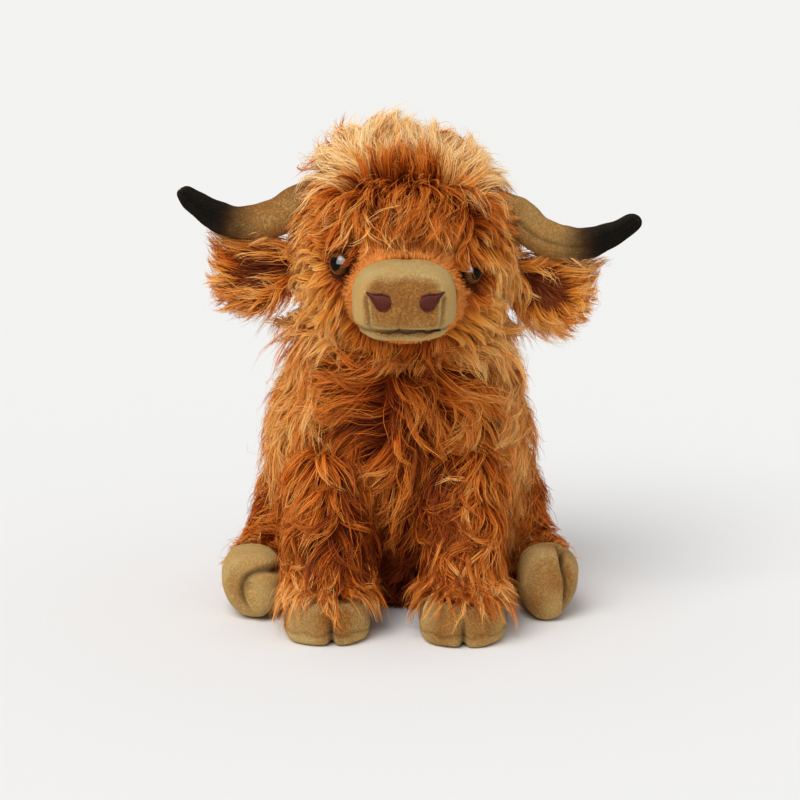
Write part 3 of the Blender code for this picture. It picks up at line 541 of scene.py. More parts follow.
def pile(
        lines, lifts, generator, per_lock, spread, curl, turns, tones, width=FIBRE_WIDTH, clump=(0.45, 0.9),
        points=7, stray=0.14):
    """Split each lock into fibres that wave together, close up towards its tip and fray a little.

    A lock has its fibres within a spread of its line, waves by its curl and turns, and closes by its
    clump. The stray share of its fibres leaves it.
    """
    locks, steps, _ = lines.shape
    way = unit(np.gradient(lines, axis=1))
    across = unit(np.cross(way, lifts))
    over = np.cross(across, way)
    count = locks * per_lock
    lock = np.repeat(np.arange(locks), per_lock)

    def by_lock(values):
        return np.broadcast_to(np.asarray(values, float), (locks, 1))[lock]

    reach = generator.uniform(0.62, 1.0, (count, 1))
    share = np.linspace(0.0, 1.0, points)[None] * reach
    spot = share * (steps - 1)
    index = np.minimum(spot.astype(int), steps - 2)
    part = (spot - index)[..., None]
    row = lock[:, None]
    middle, across, over = [
        values[row, index] * (1 - part) + values[row, index + 1] * part for values in (lines, across, over)]
    round_lock = generator.uniform(0, math.tau, (count, 1))
    radius = np.sqrt(generator.random((count, 1))) * spread
    loose = generator.random((count, 1)) < stray
    clumps = by_lock(generator.uniform(*clump, (locks, 1)))
    closing = 1 - np.where(loose, -0.3, clumps) * np.clip(share * 1.2, 0, 1) ** 0.9
    phase = by_lock(generator.uniform(0, math.tau, (locks, 1))) + generator.normal(0, 0.35, (count, 1))
    phase = phase + np.where(loose, generator.uniform(-2, 2, (count, 1)), 0)
    size = by_lock(curl) * generator.uniform(0.6, 1.3, (count, 1)) * share**1.1
    size = size * np.where(loose, 1.6, 1.0)
    swing = phase + math.tau * by_lock(turns) * share
    aside = np.cos(round_lock) * radius * closing + size * np.sin(swing)
    above = np.sin(round_lock) * radius * closing * 0.8 + size * 0.6 * np.cos(swing)
    paths = middle + across * aside[..., None] + over * above[..., None]
    paths[..., 2] = np.maximum(paths[..., 2], FLOOR_CLEAR)
    taper = np.interp(np.linspace(0, 1, points), (0, 0.25, 0.6, 0.85, 1), (0.85, 1.0, 0.85, 0.55, 0.1))
    widths = taper[None] * width * generator.uniform(0.7, 1.3, (count, 1)) * np.where(loose, 0.65, 1.0)
    tilt = generator.normal(0, 0.6, (count, 1))[..., None]
    outs = over * np.cos(tilt) + across * np.sin(tilt)
    shade = by_lock(tones) + by_lock(generator.normal(0, 0.13, (locks, 1)))
    shade = shade + generator.normal(0, 0.13, (count, 1))
    return blades(paths, outs, widths, np.clip(shade.ravel(), 0, 1))


def loose_pile(lines, lifts, seed, per_lock, spread, curl, turns, tones):
    """The finer fibres that have come out of the locks and fly round them."""
    return pile(
        lines, lifts, np.random.default_rng(seed), per_lock, spread, curl * LOOSE_CURL, turns, tones,
        LOOSE_WIDTH, LOOSE_CLUMP, LOOSE_POINTS)


def pile_finish(name, *rows):
    """Dyed acrylic pile: rows of root, middle and tip colours, from the deepest locks to the palest. Each
    fibre darkens to its root as painted shade in the depth of the pile, and pales to its tip, partly the
    pile's own tipping and partly painted light.
    """
    finish = Finish(name)
    spot = finish.node("ShaderNodeUVMap", {"uv_map": BAKE_MAP})
    tone, along = spot.part(0), spot.part(1)
    # each ramp runs from a root dark with painted shade to a tip that is partly painted light
    ramps = [along.ramp((0.0, paint(*row[0])), (0.42, paint(*row[1])), (1.0, paint(*row[2]))) for row in rows]
    colour = ramps[0]
    for index, ramp in enumerate(ramps[1:]):
        low, high = index / (len(ramps) - 1), (index + 1) / (len(ramps) - 1)
        colour = finish.mix(tone.between(low, high), colour, ramp)
    return finish.surface(colour, 0.6, Specular_IOR_Level=0.12)


def backing_finish(name, colour):
    """Knitted backing at the foot of the pile, matt, and dark as painted shade under the locks."""
    finish = Finish(name)
    cloud = finish.noise(0.004)
    knit = finish.noise(0.0007, 2.0)
    shade = finish.mix(cloud, paint(*colour), paint(*[value * 1.5 for value in colour]))
    return finish.surface(shade, 0.95, Specular_IOR_Level=0.1, Normal=finish.bump(knit, 0.0005))


def body_section(height):
    """The body's half width, half depth and middle at a height."""
    rows = np.array(BODY_SHARES)
    share = height / BODY_HEIGHT
    read = [np.interp(share, rows[:, 0], rows[:, column]) for column in (1, 2, 3)]
    return BODY_WIDTH * read[0] / 2, BODY_DEPTH * read[1] / 2, -BODY_LEAN * read[2]


body_places = []
for up, width_share, depth_share, lean in smoothed(BODY_SHARES, 36):
    half_width = BODY_WIDTH * width_share / 2 - BODY_PILE
    half_depth = BODY_DEPTH * depth_share / 2 - BODY_PILE
    centre = (0.0, -BODY_LEAN * lean, BODY_RAISED + (BODY_HEIGHT - BODY_TRIMMED) * up)
    body_places.append(ring_place(centre, half_width, half_depth, ALONG_X, ALONG_Y))
body_mesh = drawn(body_places, BODY_SIDES)
body_skin = body_mesh.copy()

long_pile = pile_finish(
    "long_pile", ((44, 8, 1), (98, 30, 3), (160, 68, 14)), ((126, 40, 4), (212, 102, 20), (236, 144, 54)),
    ((180, 80, 12), (244, 162, 62), (252, 206, 130)))
# the backing's dark colour is painted shade at the foot of the pile
backing = backing_finish("backing", (96, 34, 8))
piece("body_cover", body_mesh, backing, "torso", "long_pile", "body", fill=0.85)


def body_flow(places, outs):
    """Down, and out to the sides from the middle of the chest, with swirls."""
    x, y, z = columns(places)
    front = np.clip(-outs[:, 1:2], 0, 1)
    way = DOWN + ALONG_X * (x / 0.055 * (0.35 + 0.55 * front)) - ALONG_Y * 0.12
    collar = np.hstack((x, y + BODY_LEAN, z * 0))
    way = way + unit(collar) * 0.9 * rising(z, 0.118, 0.01)
    return swirled(way, places, outs, 0.85, (0.045, 3, 0.9), (0.02, 4, 0.35))


def body_keep(places, outs):
    """Pile grows everywhere but on the seat and under the head."""
    x, y, z = columns(places)
    neck = (z > 0.126) & (np.hypot(x, y + BODY_LEAN) < 0.026)
    return (z > 0.003) & (outs[:, 2:] > -0.8) & ~neck


generator = np.random.default_rng(11)
roots, outs = scattered(body_skin, 0.0050, generator, body_keep)
count = len(roots)
x, y, z = columns(roots)
# belly is the hollow between the front legs, where the pile is shorter and is darkened as painted shade
belly = np.exp(-(((x + 0.0025) / 0.016) ** 2)) * falling(z, 0.068, 0.022) * (y < -0.02)
lengths = generator.uniform(0.028, 0.044, (count, 1)) * (1 - 0.55 * belly)
lengths = lengths * np.clip(z / 0.024, 0.5, 1.0)
heights = generator.uniform(0.0075, 0.0152, (count, 1)) * (1 - 0.6 * belly)
heights = heights * (1 - 0.35 * rising(z, 0.095, 0.02) * np.clip(np.abs(x) / 0.03, 0, 1))
bends = generator.normal(0, (0.30, 0.60), (count, 2))
lines, lifts = combed(body_skin, roots, outs, body_flow, lengths, heights, hold=0.35, bends=bends)

# painted light and shade: paler towards the sides and on the right as painted light, dark between the front
# legs and low on the flanks as painted shade, and even at the back
mottled = drift(roots, 0.02, 5)
aside = np.clip(np.abs(x + 0.002) / 0.05 - 0.46, -0.34, 0.45)
tones = 0.50 + 0.2 * mottled + 0.92 * aside + 0.14 * np.clip(x / 0.05, 0, 1) - 1.6 * belly
tones = tones - 0.42 * falling(z, 0.100, 0.040) * rising(np.abs(x), 0.020, 0.020)
rear = rising(y, -0.024, 0.022)
tones = tones * (1 - rear) + (0.62 + 0.18 * mottled) * rear
for half, chosen in {"front": y[:, 0] < -0.02, "back": y[:, 0] >= -0.02}.items():
    count = chosen.sum()
    curl = generator.uniform(0.0014, 0.0046, (count, 1))
    turns = generator.uniform(0.7, 1.4, (count, 1))
    per_lock = 17 if half == "front" else 15
    combing = lines[chosen], lifts[chosen]
    fibres = pile(*combing, generator, per_lock, 0.0027, curl, turns, tones[chosen], clump=(0.6, 0.95))
    piece("body_pile_" + half, fibres, long_pile, "torso", "long_pile", "body")
    fibres = loose_pile(*combing, 13, 5, 0.0058, curl, turns, tones[chosen] + 0.10)
    piece("body_fluff_" + half, fibres, long_pile, "torso", "long_pile", "body")

# Seat panel and pellet bag
# A flat short-pile panel closes the body underneath, and a cotton bag of plastic pellets lies on it
# inside the filling, so that the toy stays sitting. Neither shows when the toy sits.
SEAT_SHARE = 0.82
SEAT_THICK = 0.0025
# rows of thickness and spread
SEAT_SHARES = ((0.0, 0.97), (0.25, 1.0), (0.8, 1.0), (1.0, 0.97))
BAG_SIZE = (0.054, 0.050, 0.016)
BAG_ROUND = 2.6
BAG_PUCKER = 0.45
BAG_GAP = 0.0005
PELLET_SIZE = 0.0035
PELLET_BUMP = 0.0007
BAG_SEAM = (0.0012, 0.0008)
THREADS_PER_METRE = 9000.0


def moved(mesh, change):
    """Shape a mesh by hand: change gives the new places from the old ones and the directions out."""
    mesh.normal_update()
    places = np.array([point.co for point in mesh.verts])
    outs = np.array([point.normal for point in mesh.verts])
    for point, place in zip(mesh.verts, change(places, outs)):
        point.co = place
    return mesh


seat_places = []
for up, spread in SEAT_SHARES:
    half_width = BODY_WIDTH * BODY_SHARES[0][1] * SEAT_SHARE / 2 * spread
    half_depth = BODY_DEPTH * BODY_SHARES[0][2] * SEAT_SHARE / 2 * spread
    seat_places.append(ring_place((0.0, 0.0, SEAT_THICK * up), half_width, half_depth, ALONG_X, ALONG_Y))
seat_mesh = drawn(seat_places, 64)
seat_finish = Finish("seat_cloth")
seat_nap = seat_finish.noise(0.0012, 4.0)
seat_cloud = seat_finish.noise(0.012, 2.0).between(0.35, 0.65)
seat_shade = seat_finish.mix(seat_cloud, paint(150, 84, 34), paint(178, 108, 50))
seat_cloth = seat_finish.surface(seat_shade, 0.9, Normal=seat_finish.bump(seat_nap, 0.0006))
piece("seat_panel_cloth", seat_mesh, seat_cloth, "torso", "short_pile", "seat_panel", fill=0.1)

bag_places = []
for turn in np.linspace(-math.pi / 2 + 0.12, math.pi / 2 - 0.12, 18):
    spread = math.cos(turn) ** BAG_PUCKER / 2
    up = SEAT_THICK + BAG_GAP + BAG_SIZE[2] / 2 * (1 + math.sin(turn))
    half_width, half_depth = BAG_SIZE[0] * spread, BAG_SIZE[1] * spread
    bag_places.append(ring_place((0.0, 0.0, up), half_width, half_depth, ALONG_X, ALONG_Y))


def bag_bumps(places, outs):
    """Pellets press the cloth out in small lumps, and the seam round its middle pulls it in."""
    lumps = np.abs(drift(places, PELLET_SIZE * 2.2, 8)) * PELLET_BUMP
    middle = SEAT_THICK + BAG_SIZE[2] / 2
    seam = np.exp(-((places[:, 2:] - middle) / BAG_SEAM[0]) ** 2) * BAG_SEAM[1]
    return places + outs * (lumps - seam - PELLET_BUMP)


bag_finish = Finish("bag_cloth")
bag_spot = bag_finish.place()
warp, weft = [(bag_spot.part(axis) * THREADS_PER_METRE).wave() * 0.5 + 0.5 for axis in (0, 1)]
bag_cloth = bag_finish.surface(
    bag_finish.mix(warp * weft, paint(196, 190, 176), paint(222, 216, 202)), 0.85,
    Normal=bag_finish.bump(warp + weft, 0.0002))
bag_mesh = moved(drawn(bag_places, 72, BAG_ROUND), bag_bumps)
piece("pellet_bag_cloth", bag_mesh, bag_cloth, "torso", "bag_cloth", "pellet_bag", fill=0.5)

# Head
# A rounder cover of the same long pile, stuffed firm, with a short snout. The pile is short round the
# muzzle and is brushed away from it over the cheeks. The forelock is a mop of longer pile that parts on
# the crown: it falls over the brow in front, and is paler and stands up behind the parting.
NECK = Vector((0.0, -0.035, 0.136))
HEAD_ROLL = math.radians(3.7)
HEAD_WIDTH = 0.106
HEAD_HEIGHT = 0.112
HEAD_LENGTH = 0.1255
HEAD_BACK = 0.057
HEAD_RISE = 0.046
SNOUT_DROP = 0.0145
# rows of length from the back, width, height and snout drop
HEAD_SHARES = (
    (0.000, 0.15, 0.14, 0.00),
    (0.025, 0.45, 0.42, 0.00),
    (0.100, 0.74, 0.69, 0.00),
    (0.240, 0.93, 0.88, 0.00),
    (0.415, 1.00, 1.00, 0.00),
    (0.590, 0.98, 0.98, 0.07),
    (0.735, 0.87, 0.83, 0.20),
    (0.840, 0.70, 0.65, 0.42),
    (0.910, 0.55, 0.48, 0.70),
    (0.957, 0.48, 0.38, 0.90),
    (1.000, 0.46, 0.335, 1.00),
)
# shares of length, and how deep the pile is there
PILE_DEPTHS = ((0.0, 0.45, 0.7, 0.85, 1.0), (0.0085, 0.0095, 0.0085, 0.0045, 0.0012))
HEAD_TRIMMED = 0.004
LEAST_HALF = 0.001
PARTING = np.array((0.002, -0.037, 0.082))
PARTING_HALF = 0.022
SNOUT = np.array((0.0, -0.0690, 0.0315))
EYE_ALONG = 0.885
EYE_UP = math.radians(12.0)
EYE_TURN = math.radians(40.0)
head_place = Matrix.Translation(NECK) @ Matrix.Rotation(HEAD_ROLL, 4, "Y")


def head_section(along):
    """The head's half width, half height, Y and Z at a share of its length from the back."""
    rows = np.array(HEAD_SHARES)
    width, height, drop = [np.interp(along, rows[:, 0], rows[:, column]) for column in (1, 2, 3)]
    back, rise = HEAD_BACK - HEAD_LENGTH * along, HEAD_RISE - SNOUT_DROP * drop
    return HEAD_WIDTH * width / 2, HEAD_HEIGHT * height / 2, back, rise


def head_point(along, angle, side):
    """A point on the side of the head, at an angle above the middle of its section."""
    half_width, half_height, back, rise = head_section(along)
    return Vector((side * half_width * math.cos(angle), back, rise + half_height * math.sin(angle)))


def carried(place, *arrays):
    """Carry a piece's points, the first array, and directions, any further ones, by its place matrix."""
    turn = np.array(place.to_3x3())
    shift = np.array(place.translation)
    return [array @ turn.T + (shift if number == 0 else 0.0) for number, array in enumerate(arrays)]


head_rings = []
for along, width, height, drop in smoothed(HEAD_SHARES, 44):
    inset = np.interp(along, *PILE_DEPTHS)
    half_width = max(HEAD_WIDTH * width / 2 - inset, LEAST_HALF)
    half_height = max(HEAD_HEIGHT * height / 2 - inset, LEAST_HALF)
    depth = HEAD_BACK - HEAD_LENGTH * along - HEAD_TRIMMED * (1 - along)
    head_rings.append(ring_place((0.0, depth, HEAD_RISE - SNOUT_DROP * drop), half_width, half_height))
head_mesh = drawn(head_rings, 48)
head_skin = head_mesh.copy()
bmesh.ops.transform(head_mesh, matrix=head_place, verts=head_mesh.verts)
piece("head_cover", head_mesh, backing, "head", "long_pile", "head", fill=0.9)
eye_seats = {name: head_point(EYE_ALONG, EYE_UP, side) for name, side in LEFT_RIGHT.items()}


def head_flow(places, outs):
    """Away from the parting over the crown and brow, away from the muzzle over the cheeks, then down."""
    x, y, z = columns(places)
    brow = np.maximum(rising(z, 0.046, 0.018), rising(y, -0.02, 0.03))
    along = np.clip(x - PARTING[0], -PARTING_HALF, PARTING_HALF)
    parting = PARTING + along * ALONG_X - np.abs(along) * ALONG_Z * 0.25
    from_parting = unit(places - parting) + ALONG_X * 0.3 * x / 0.04
    from_snout = unit((places - SNOUT) * np.array((1.0, 0.8, 1.0)))
    way = from_parting * brow + (from_snout + DOWN * 0.45) * (1 - brow)
    way = way + DOWN * 0.55 * falling(z, 0.085, 0.03)
    way = way + DOWN * 1.1 * falling(y, PARTING[1] - 0.002, 0.012) * brow
    way = swirled(way, places, outs, 0.8, (0.035, 21, 0.55), (0.016, 22, 0.3))
    apart = np.linalg.norm(places - parting, axis=1, keepdims=True)
    upright = 0.34 * rising(z, 0.078, 0.012) * rising(y, -0.040, 0.010)
    upright = upright + np.exp(-((apart / 0.012) ** 2)) * (0.8 + 0.6 * rising(y, PARTING[1] - 0.003, 0.006))
    return unit(way + outs * upright)


def joined(*meshes):
    """One mesh of several, for the pile to lie over."""
    whole = bmesh.new()
    for mesh in meshes:
        data = bpy.data.meshes.new("part")
        mesh.to_mesh(data)
        whole.from_mesh(data)
        bpy.data.meshes.remove(data)
    return whole


def snout_gap(places):
    """How far a place on the front of the head is from the muzzle's middle line."""
    return np.hypot(places[:, :1] * 0.92, (places[:, 2:] - SNOUT[2]) * 1.12)


def eye_gap(places):
    """How far a place is from the nearer eye."""
    gaps = [np.linalg.norm(places - np.array(seat), axis=1) for seat in eye_seats.values()]
    return np.minimum(*gaps)[:, None]


def head_keep(places, outs):
    """Pile grows everywhere but under the neck, the muzzle, the eyes and the nose bridge."""
    x, y, z = columns(places)
    face = y < -0.045
    bridge = face & (np.abs(x) < 0.021) & (z < 0.0600) & (z > 0.03)
    neck = (z < 0.006) & (np.abs(x) < 0.035) & (np.abs(y) < 0.035)
    muzzle = face & (snout_gap(places) < 0.0265)
    return ~muzzle & (eye_gap(places) > 0.0085) & ~bridge & ~neck & (y > -0.0665)


generator = np.random.default_rng(31)
roots, outs = scattered(head_skin, 0.0040, generator, head_keep)
count = len(roots)
x, y, z = columns(roots)
off_middle = np.abs(x)
eye_far = eye_gap(roots)

# the parts of the head that are combed or trimmed in their own way
chin = falling(z, 0.018, 0.012)
cheek = falling(z, 0.040, 0.02) * rising(off_middle, 0.016, 0.010)
nape = falling(z, 0.026, 0.014) * (y > -0.03)
crown = rising(z, 0.070, 0.012)
on_brow = (z > 0.056) & (y < -0.02)
mop = on_brow & (z > 0.066)
over_eye = np.exp(-(((off_middle - 0.031) / 0.010) ** 2)) * falling(z, 0.082, 0.012)
streak = np.hypot((x - PARTING[0] + 0.006) / 0.018, (y - PARTING[1] - 0.002) / 0.0058) < 1
ahead = (y <= PARTING[1]) | streak

# longer away from the muzzle, at the chin, cheeks and nape, and cut short over the eyes
lengths = np.interp(snout_gap(roots), (0.024, 0.032, 0.05), (0.010, 0.017, 0.028))
lengths = np.where(y < -0.03, lengths, 0.029) * generator.uniform(0.85, 1.25, (count, 1))
lengths = lengths + 0.012 * chin
brow_lengths = generator.uniform(0.026, 0.040, (count, 1))
brow_room = np.maximum((z - 0.0585) * 1.50 + 0.008, 0.007)
brow_lengths = np.where(off_middle < 0.024, np.minimum(brow_lengths, brow_room), brow_lengths)
eye_room = np.maximum((z - 0.0555) * 1.05 + 0.003, 0.006) + 0.05 * (1 - over_eye)
brow_lengths = np.minimum(brow_lengths, eye_room)
lengths = lengths + 0.014 * cheek
lengths = lengths * (1 + nape * np.random.default_rng(32).uniform(-0.35, 0.45, (count, 1)))
lengths = np.where(on_brow, brow_lengths, lengths)
lengths = lengths * np.clip(eye_far / 0.018, 0.45, 1.0)

# low on the snout, high on the crown and cheeks, with the mop full over the brow
heights = np.interp(y, (-0.066, -0.045, -0.02), (0.0018, 0.0060, 0.0095))
heights = heights * generator.uniform(0.6, 1.35, (count, 1))
heights = heights + crown * generator.uniform(0.001, 0.009, (count, 1)) + chin * 0.003
heights = heights + cheek * generator.uniform(0.001, 0.013, (count, 1))
mop_room = np.interp(z, (0.060, 0.082), (0.0090, 0.0155))
heights = np.where(mop, generator.uniform(0.35, 1.0, (count, 1)) * mop_room, heights)
heights = np.where(on_brow & (lengths < 0.016), heights * 0.6, heights)
speed = np.where(mop, 2.4, np.where(crown > 0.3, 3.2, 1.9))

# the crown is trimmed behind the parting, and a streak along the parting stands up short
trim = crown * np.interp(x, (-0.040, -0.020, 0.0, 0.020, 0.040), (0.0, 0.14, 0.36, 0.38, 0.44))
trim = trim * (y > PARTING[1]) * np.interp(y, (PARTING[1], PARTING[1] + 0.024), (0.35, 1.0))
lengths = lengths * (1 - 0.8 * trim)
heights = heights * (1 - 1.1 * trim)
lengths = np.where(streak, lengths * 0.54, lengths)
heights = np.where(streak, np.maximum(heights, 0.0065) * 0.95, heights)
bends = generator.normal(0, (0.30, 0.6), (count, 2)) * np.clip(snout_gap(roots) / 0.05, 0.3, 1.0)
bends = bends * np.where(on_brow & (off_middle < 0.03), 0.5, 1.0)

# the pile lies over the head and the chest
chest = body_skin.copy()
bmesh.ops.transform(chest, matrix=head_place.inverted(), verts=chest.verts)
whole = joined(head_skin, chest)
lines, lifts = combed(
    whole, roots, outs, head_flow, lengths, heights, lift=0.7, hold=0.35, bends=bends, speed=speed)
lines, lifts = carried(head_place, lines, lifts)

# painted light and shade: paler at the cheeks, the sides of the face, the front of the face below the brow
# (more on the right) and the ends of the brow as painted light, dark at the chin, the nape and round the eyes
# as painted shade, and a little darker on the brow
pale_pile = pile_finish(
    "pale_pile", ((186, 98, 28), (234, 156, 66), (248, 194, 114)),
    ((226, 152, 70), (252, 206, 130), (255, 238, 196)))
tones = 0.58 + 0.2 * drift(roots, 0.018, 23) - 0.13 * on_brow * (y <= PARTING[1] + 0.004)
tones = tones + 0.50 * rising(off_middle, 0.016, 0.012) * falling(z, 0.056, 0.014)
tones = tones + 0.25 * rising(off_middle, 0.028, 0.02)
tones = tones - 0.20 * chin * (off_middle < 0.024) - 0.04 * chin
tones = tones - 1.1 * np.exp(-((eye_far - 0.006) / 0.0065) ** 2)
tones = tones + (0.10 + 0.14 * np.clip(x / 0.02, 0, 1)) * (y < -0.012) * (z < 0.06)
tones = np.where(streak, 0.38, tones - 0.22 * nape)
tones = tones + 0.34 * ahead * rising(off_middle, 0.018, 0.018) * rising(z, 0.056, 0.01)

# the pale locks thin out towards the back and sides, and ahead of the parting
chance = falling(y, 0.020, 0.035) * (1 - 0.7 * rising(off_middle, 0.026, 0.012) * (y > -0.012))
chance = np.where(ahead, 0.34 * rising(off_middle, 0.012, 0.02), chance)
pale_lock = (crown > 0.3) & ~streak & (generator.random(count)[:, None] < chance)
mop_lock = on_brow | (crown > 0.3)
# the groups of locks: which, fibres and loose fibres in each, and how much paler the loose ones are
groups = {
    "forelock_pile_top": (pale_lock, 18, 9, 0.34),
    "forelock_pile_brow": (~pale_lock & mop_lock, 21, 9, -0.06),
    "head_pile_front": (~pale_lock & ~mop_lock & (y < -0.012), 23, 5, 0.12),
    "head_pile_back": (~pale_lock & ~mop_lock & (y >= -0.012), 15, 5, 0.12),
}
for name, (group, per_lock, loose_per_lock, paler) in groups.items():
    chosen = group[:, 0]
    count = chosen.sum()
    pale = name == "forelock_pile_top"
    node = "forelock" if "forelock" in name else "head"
    finish, slot = (pale_pile, "pale_pile") if pale else (long_pile, "long_pile")
    curl = generator.uniform(0.0012, 0.0042, (count, 1)) * np.clip(lengths[chosen] / 0.028, 0.2, 1.2)
    turns = generator.uniform(0.6, 1.3, (count, 1))
    clump = (0.15, 0.65) if pale else (0.5, 0.92)
    combing = lines[chosen], lifts[chosen]
    fibres = pile(*combing, generator, per_lock, 0.0026, curl, turns, tones[chosen], clump=clump)
    piece(name, fibres, finish, "head", slot, node)
    clear = ((eye_far > 0.0135) & (over_eye < 0.35))[chosen, 0]
    combing = lines[chosen][clear], lifts[chosen][clear]
    loose_tones = tones[chosen][clear] + paler
    fibres = loose_pile(*combing, 33, loose_per_lock, 0.0062, curl[clear], turns[clear], loose_tones)
    piece(name.replace("pile", "fluff"), fibres, finish, "head", slot, node)

# a few long single wisps hang out of the mop, clear of the eyes
wisps = on_brow & (z > 0.062) & (y < PARTING[1] - 0.004) & (off_middle < 0.042) & (over_eye < 0.5)
wisps = wisps[:, 0] & (generator.random(len(roots)) < 0.24)
count = wisps.sum()
rise = z[wisps]
lengths = generator.uniform(0.026, 0.042, (count, 1)) * np.clip((rise - 0.046) / 0.026, 0.5, 1)
heights = generator.uniform(0.0090, 0.0130, (count, 1)) * np.clip((rise - 0.050) / 0.024, 0.5, 1)
bends = generator.normal(0, (0.35, 0.9), (count, 2))
lines, lifts = combed(
    whole, roots[wisps], outs[wisps], head_flow, lengths, heights, lift=0.7, bends=bends, speed=2.2)
lines, lifts = carried(head_place, lines, lifts)
curl, turns = generator.uniform(0.0010, 0.0028, (count, 1)), generator.uniform(0.5, 1.1, (count, 1))
fibres = pile(lines, lifts, generator, 6, 0.0008, curl, turns, 0.92, clump=(0.3, 0.8), points=9, stray=0.25)
piece("forelock_wisps", fibres, long_pile, "head", "long_pile", "forelock")

# Nose bridge
# Short tan-orange pile from the brow down to the muzzle and round its sides, sheared to a few
# millimetres and brushed up and away from the muzzle. A ring of it closes in round each eye.


def bridge_keep(places, outs):
    """A panel down the middle of the face, a ring round the muzzle and one round each eye."""
    x, y, z = columns(places)
    panel = (np.abs(x) < 0.0225) & (z < 0.0605) & (z > 0.03)
    socket = eye_gap(places) < 0.0115
    face = (y < -0.040) & (y > -0.0675) & (eye_gap(places) > 0.0064)
    return face & (panel | socket | (snout_gap(places) < 0.030))


def bridge_flow(places, outs):
    """Away from the muzzle."""
    return laid(unit(places - SNOUT) + drift(places, 0.02, 41) * 0.25, outs, 0.7)


generator = np.random.default_rng(41)
roots, outs = scattered(head_skin, 0.0011, generator, bridge_keep)
# the short pile darkens in a ring round each eye as painted shade of the socket
tones = 0.92 + 0.15 * drift(roots, 0.01, 42) - 1.4 * np.exp(-((eye_gap(roots) - 0.006) / 0.0055) ** 2)
lengths = generator.uniform(0.003, 0.005, (len(roots), 1)) + 0.002 * rising(snout_gap(roots), 0.022, 0.006)
lines, lifts = combed(head_skin, roots, outs, bridge_flow, lengths, 0.0012, lift=0.35)
lines, lifts = carried(head_place, lines, lifts)
short_pile = pile_finish(
    "short_pile", ((44, 12, 3), (78, 26, 6), (112, 46, 12)), ((162, 72, 19), (216, 118, 42), (238, 146, 64)),
    ((176, 88, 25), (228, 138, 56), (244, 166, 86)))
fibres = pile(lines, lifts, generator, 5, 0.0008, 0.0003, 0.5, tones, 0.00045, (0.2, 0.5), 4)
piece("nose_bridge_pile", fibres, short_pile, "head", "short_pile", "nose_bridge")

# Muzzle, lower lip, mouth and nostrils
# A stuffed block of short tan plush with small darts at the nostrils and mouth, a strip of the same
# plush under it as the lip, and a mouth line and nostrils sewn in dark red-brown thread.
MUZZLE_SIZE = (0.0495, 0.0272, 0.0375)
MUZZLE_INSET = (0.0008, 0.0003)
MUZZLE_BACK = -0.0686
MUZZLE_SUNK = 0.006
MUZZLE_ROUND = 2.75
MUZZLE_LEVEL = 0.9
SEAM_DEPTH = 0.0009
MOUTH_RISE = 0.0200
MOUTH_HALF = 0.0145
MOUTH_SHIFT = 0.0036
MOUTH_PITCH = 0.0034
MOUTH_STITCH = 0.0041
MOUTH_TILT = 0.03
# places across the mouth, and the width of the thread there
MOUTH_THREAD = ((-MOUTH_HALF, -0.011, -0.006, 0.012, MOUTH_HALF), (0.0005, 0.0008, 0.0011, 0.0011, 0.0009))
FACE_SHIFT = 0.0004
THREAD_WIDTH = 0.00062
STITCH_POINTS = 7
NOSTRIL_PLACE = (0.0117, 0.0342)
NOSTRIL_SIZE = (0.0105, 0.0082)
# outline of one nostril from its inner side round its foot to its outer point: across and up
NOSTRIL_SHARES = (
    (-0.48, 0.02), (-0.44, -0.28), (-0.28, -0.48), (-0.06, -0.50), (0.10, -0.38), (0.24, -0.10),
    (0.38, 0.20), (0.56, 0.48), (0.22, 0.42), (-0.12, 0.46), (-0.38, 0.34),
)


def tan_finish(name, horn=False):
    """Short tan plush, paler where its mark of painted light is high: painted sheen at the rims and painted
    light on the lit sides; darker along its seams and creases as painted shade.
    """
    finish = Finish(name)
    place = finish.place()
    patch = finish.noise(0.011, 2.0, place).between(0.35, 0.65)
    brushed = finish.noise(0.0011, 4.0, place, 0.7).between(0.41, 0.59)
    fibre = finish.noise(0.0005, 2.0, place).between(0.3, 0.7)
    deep = finish.mix(patch, paint(192, 112, 38), paint(208, 132, 50))
    pale = finish.mix(patch, paint(255, 206, 122), paint(255, 220, 144))
    colour = finish.mix(brushed * 0.68, deep, paint(108, 58, 14))
    # pale by the painted light mark: painted sheen at the rims and painted light on lit sides
    colour = finish.mix(finish.marks("nap") * (1.42 - brushed * 0.50), colour, pale)
    colour = finish.mix(fibre * 0.26, colour, paint(240, 176, 96))
    # darker by the crease mark: painted shade in seams and creases
    colour = finish.mix(finish.marks("fold"), colour, paint(96, 56, 20))
    sheen = 0.22
    if horn:
        sheen = 0.06
        edge = finish.marks("reach") + (finish.noise(0.007, 3.0, place) - 0.5) * 0.12
        colour = finish.mix(edge.between(0.38, 0.74), colour, paint(52, 32, 18))
        colour = finish.mix(edge.between(0.62, 0.80), colour, paint(7, 6, 6))
    return finish.surface(
        colour, 0.9, Normal=finish.bump(fibre * 0.8 - brushed * 0.7, 0.0008), Specular_IOR_Level=0.1,
        Sheen_Weight=sheen, Sheen_Roughness=0.35, Sheen_Tint=(1.0, 0.70, 0.40, 1.0))


def stitch_finish(name, deep, light):
    """Glossy embroidery thread with a fine twist."""
    finish = Finish(name)
    spot = finish.node("ShaderNodeUVMap", {"uv_map": BAKE_MAP})
    twist = (spot.part(1) * 60.0 + spot.part(0) * TONES * 6.0).wave() * 0.5 + 0.5
    colour = finish.mix(twist * 0.6, paint(*light), paint(*deep))
    return finish.surface(colour, 0.5, Specular_IOR_Level=0.2)


def marked(made, name, values):
    """Keep a number for each point of a piece, for its finish to read."""
    marks = made.data.attributes.new(name, "FLOAT", "POINT")
    marks.data.foreach_set("value", np.asarray(values, np.float32).ravel())


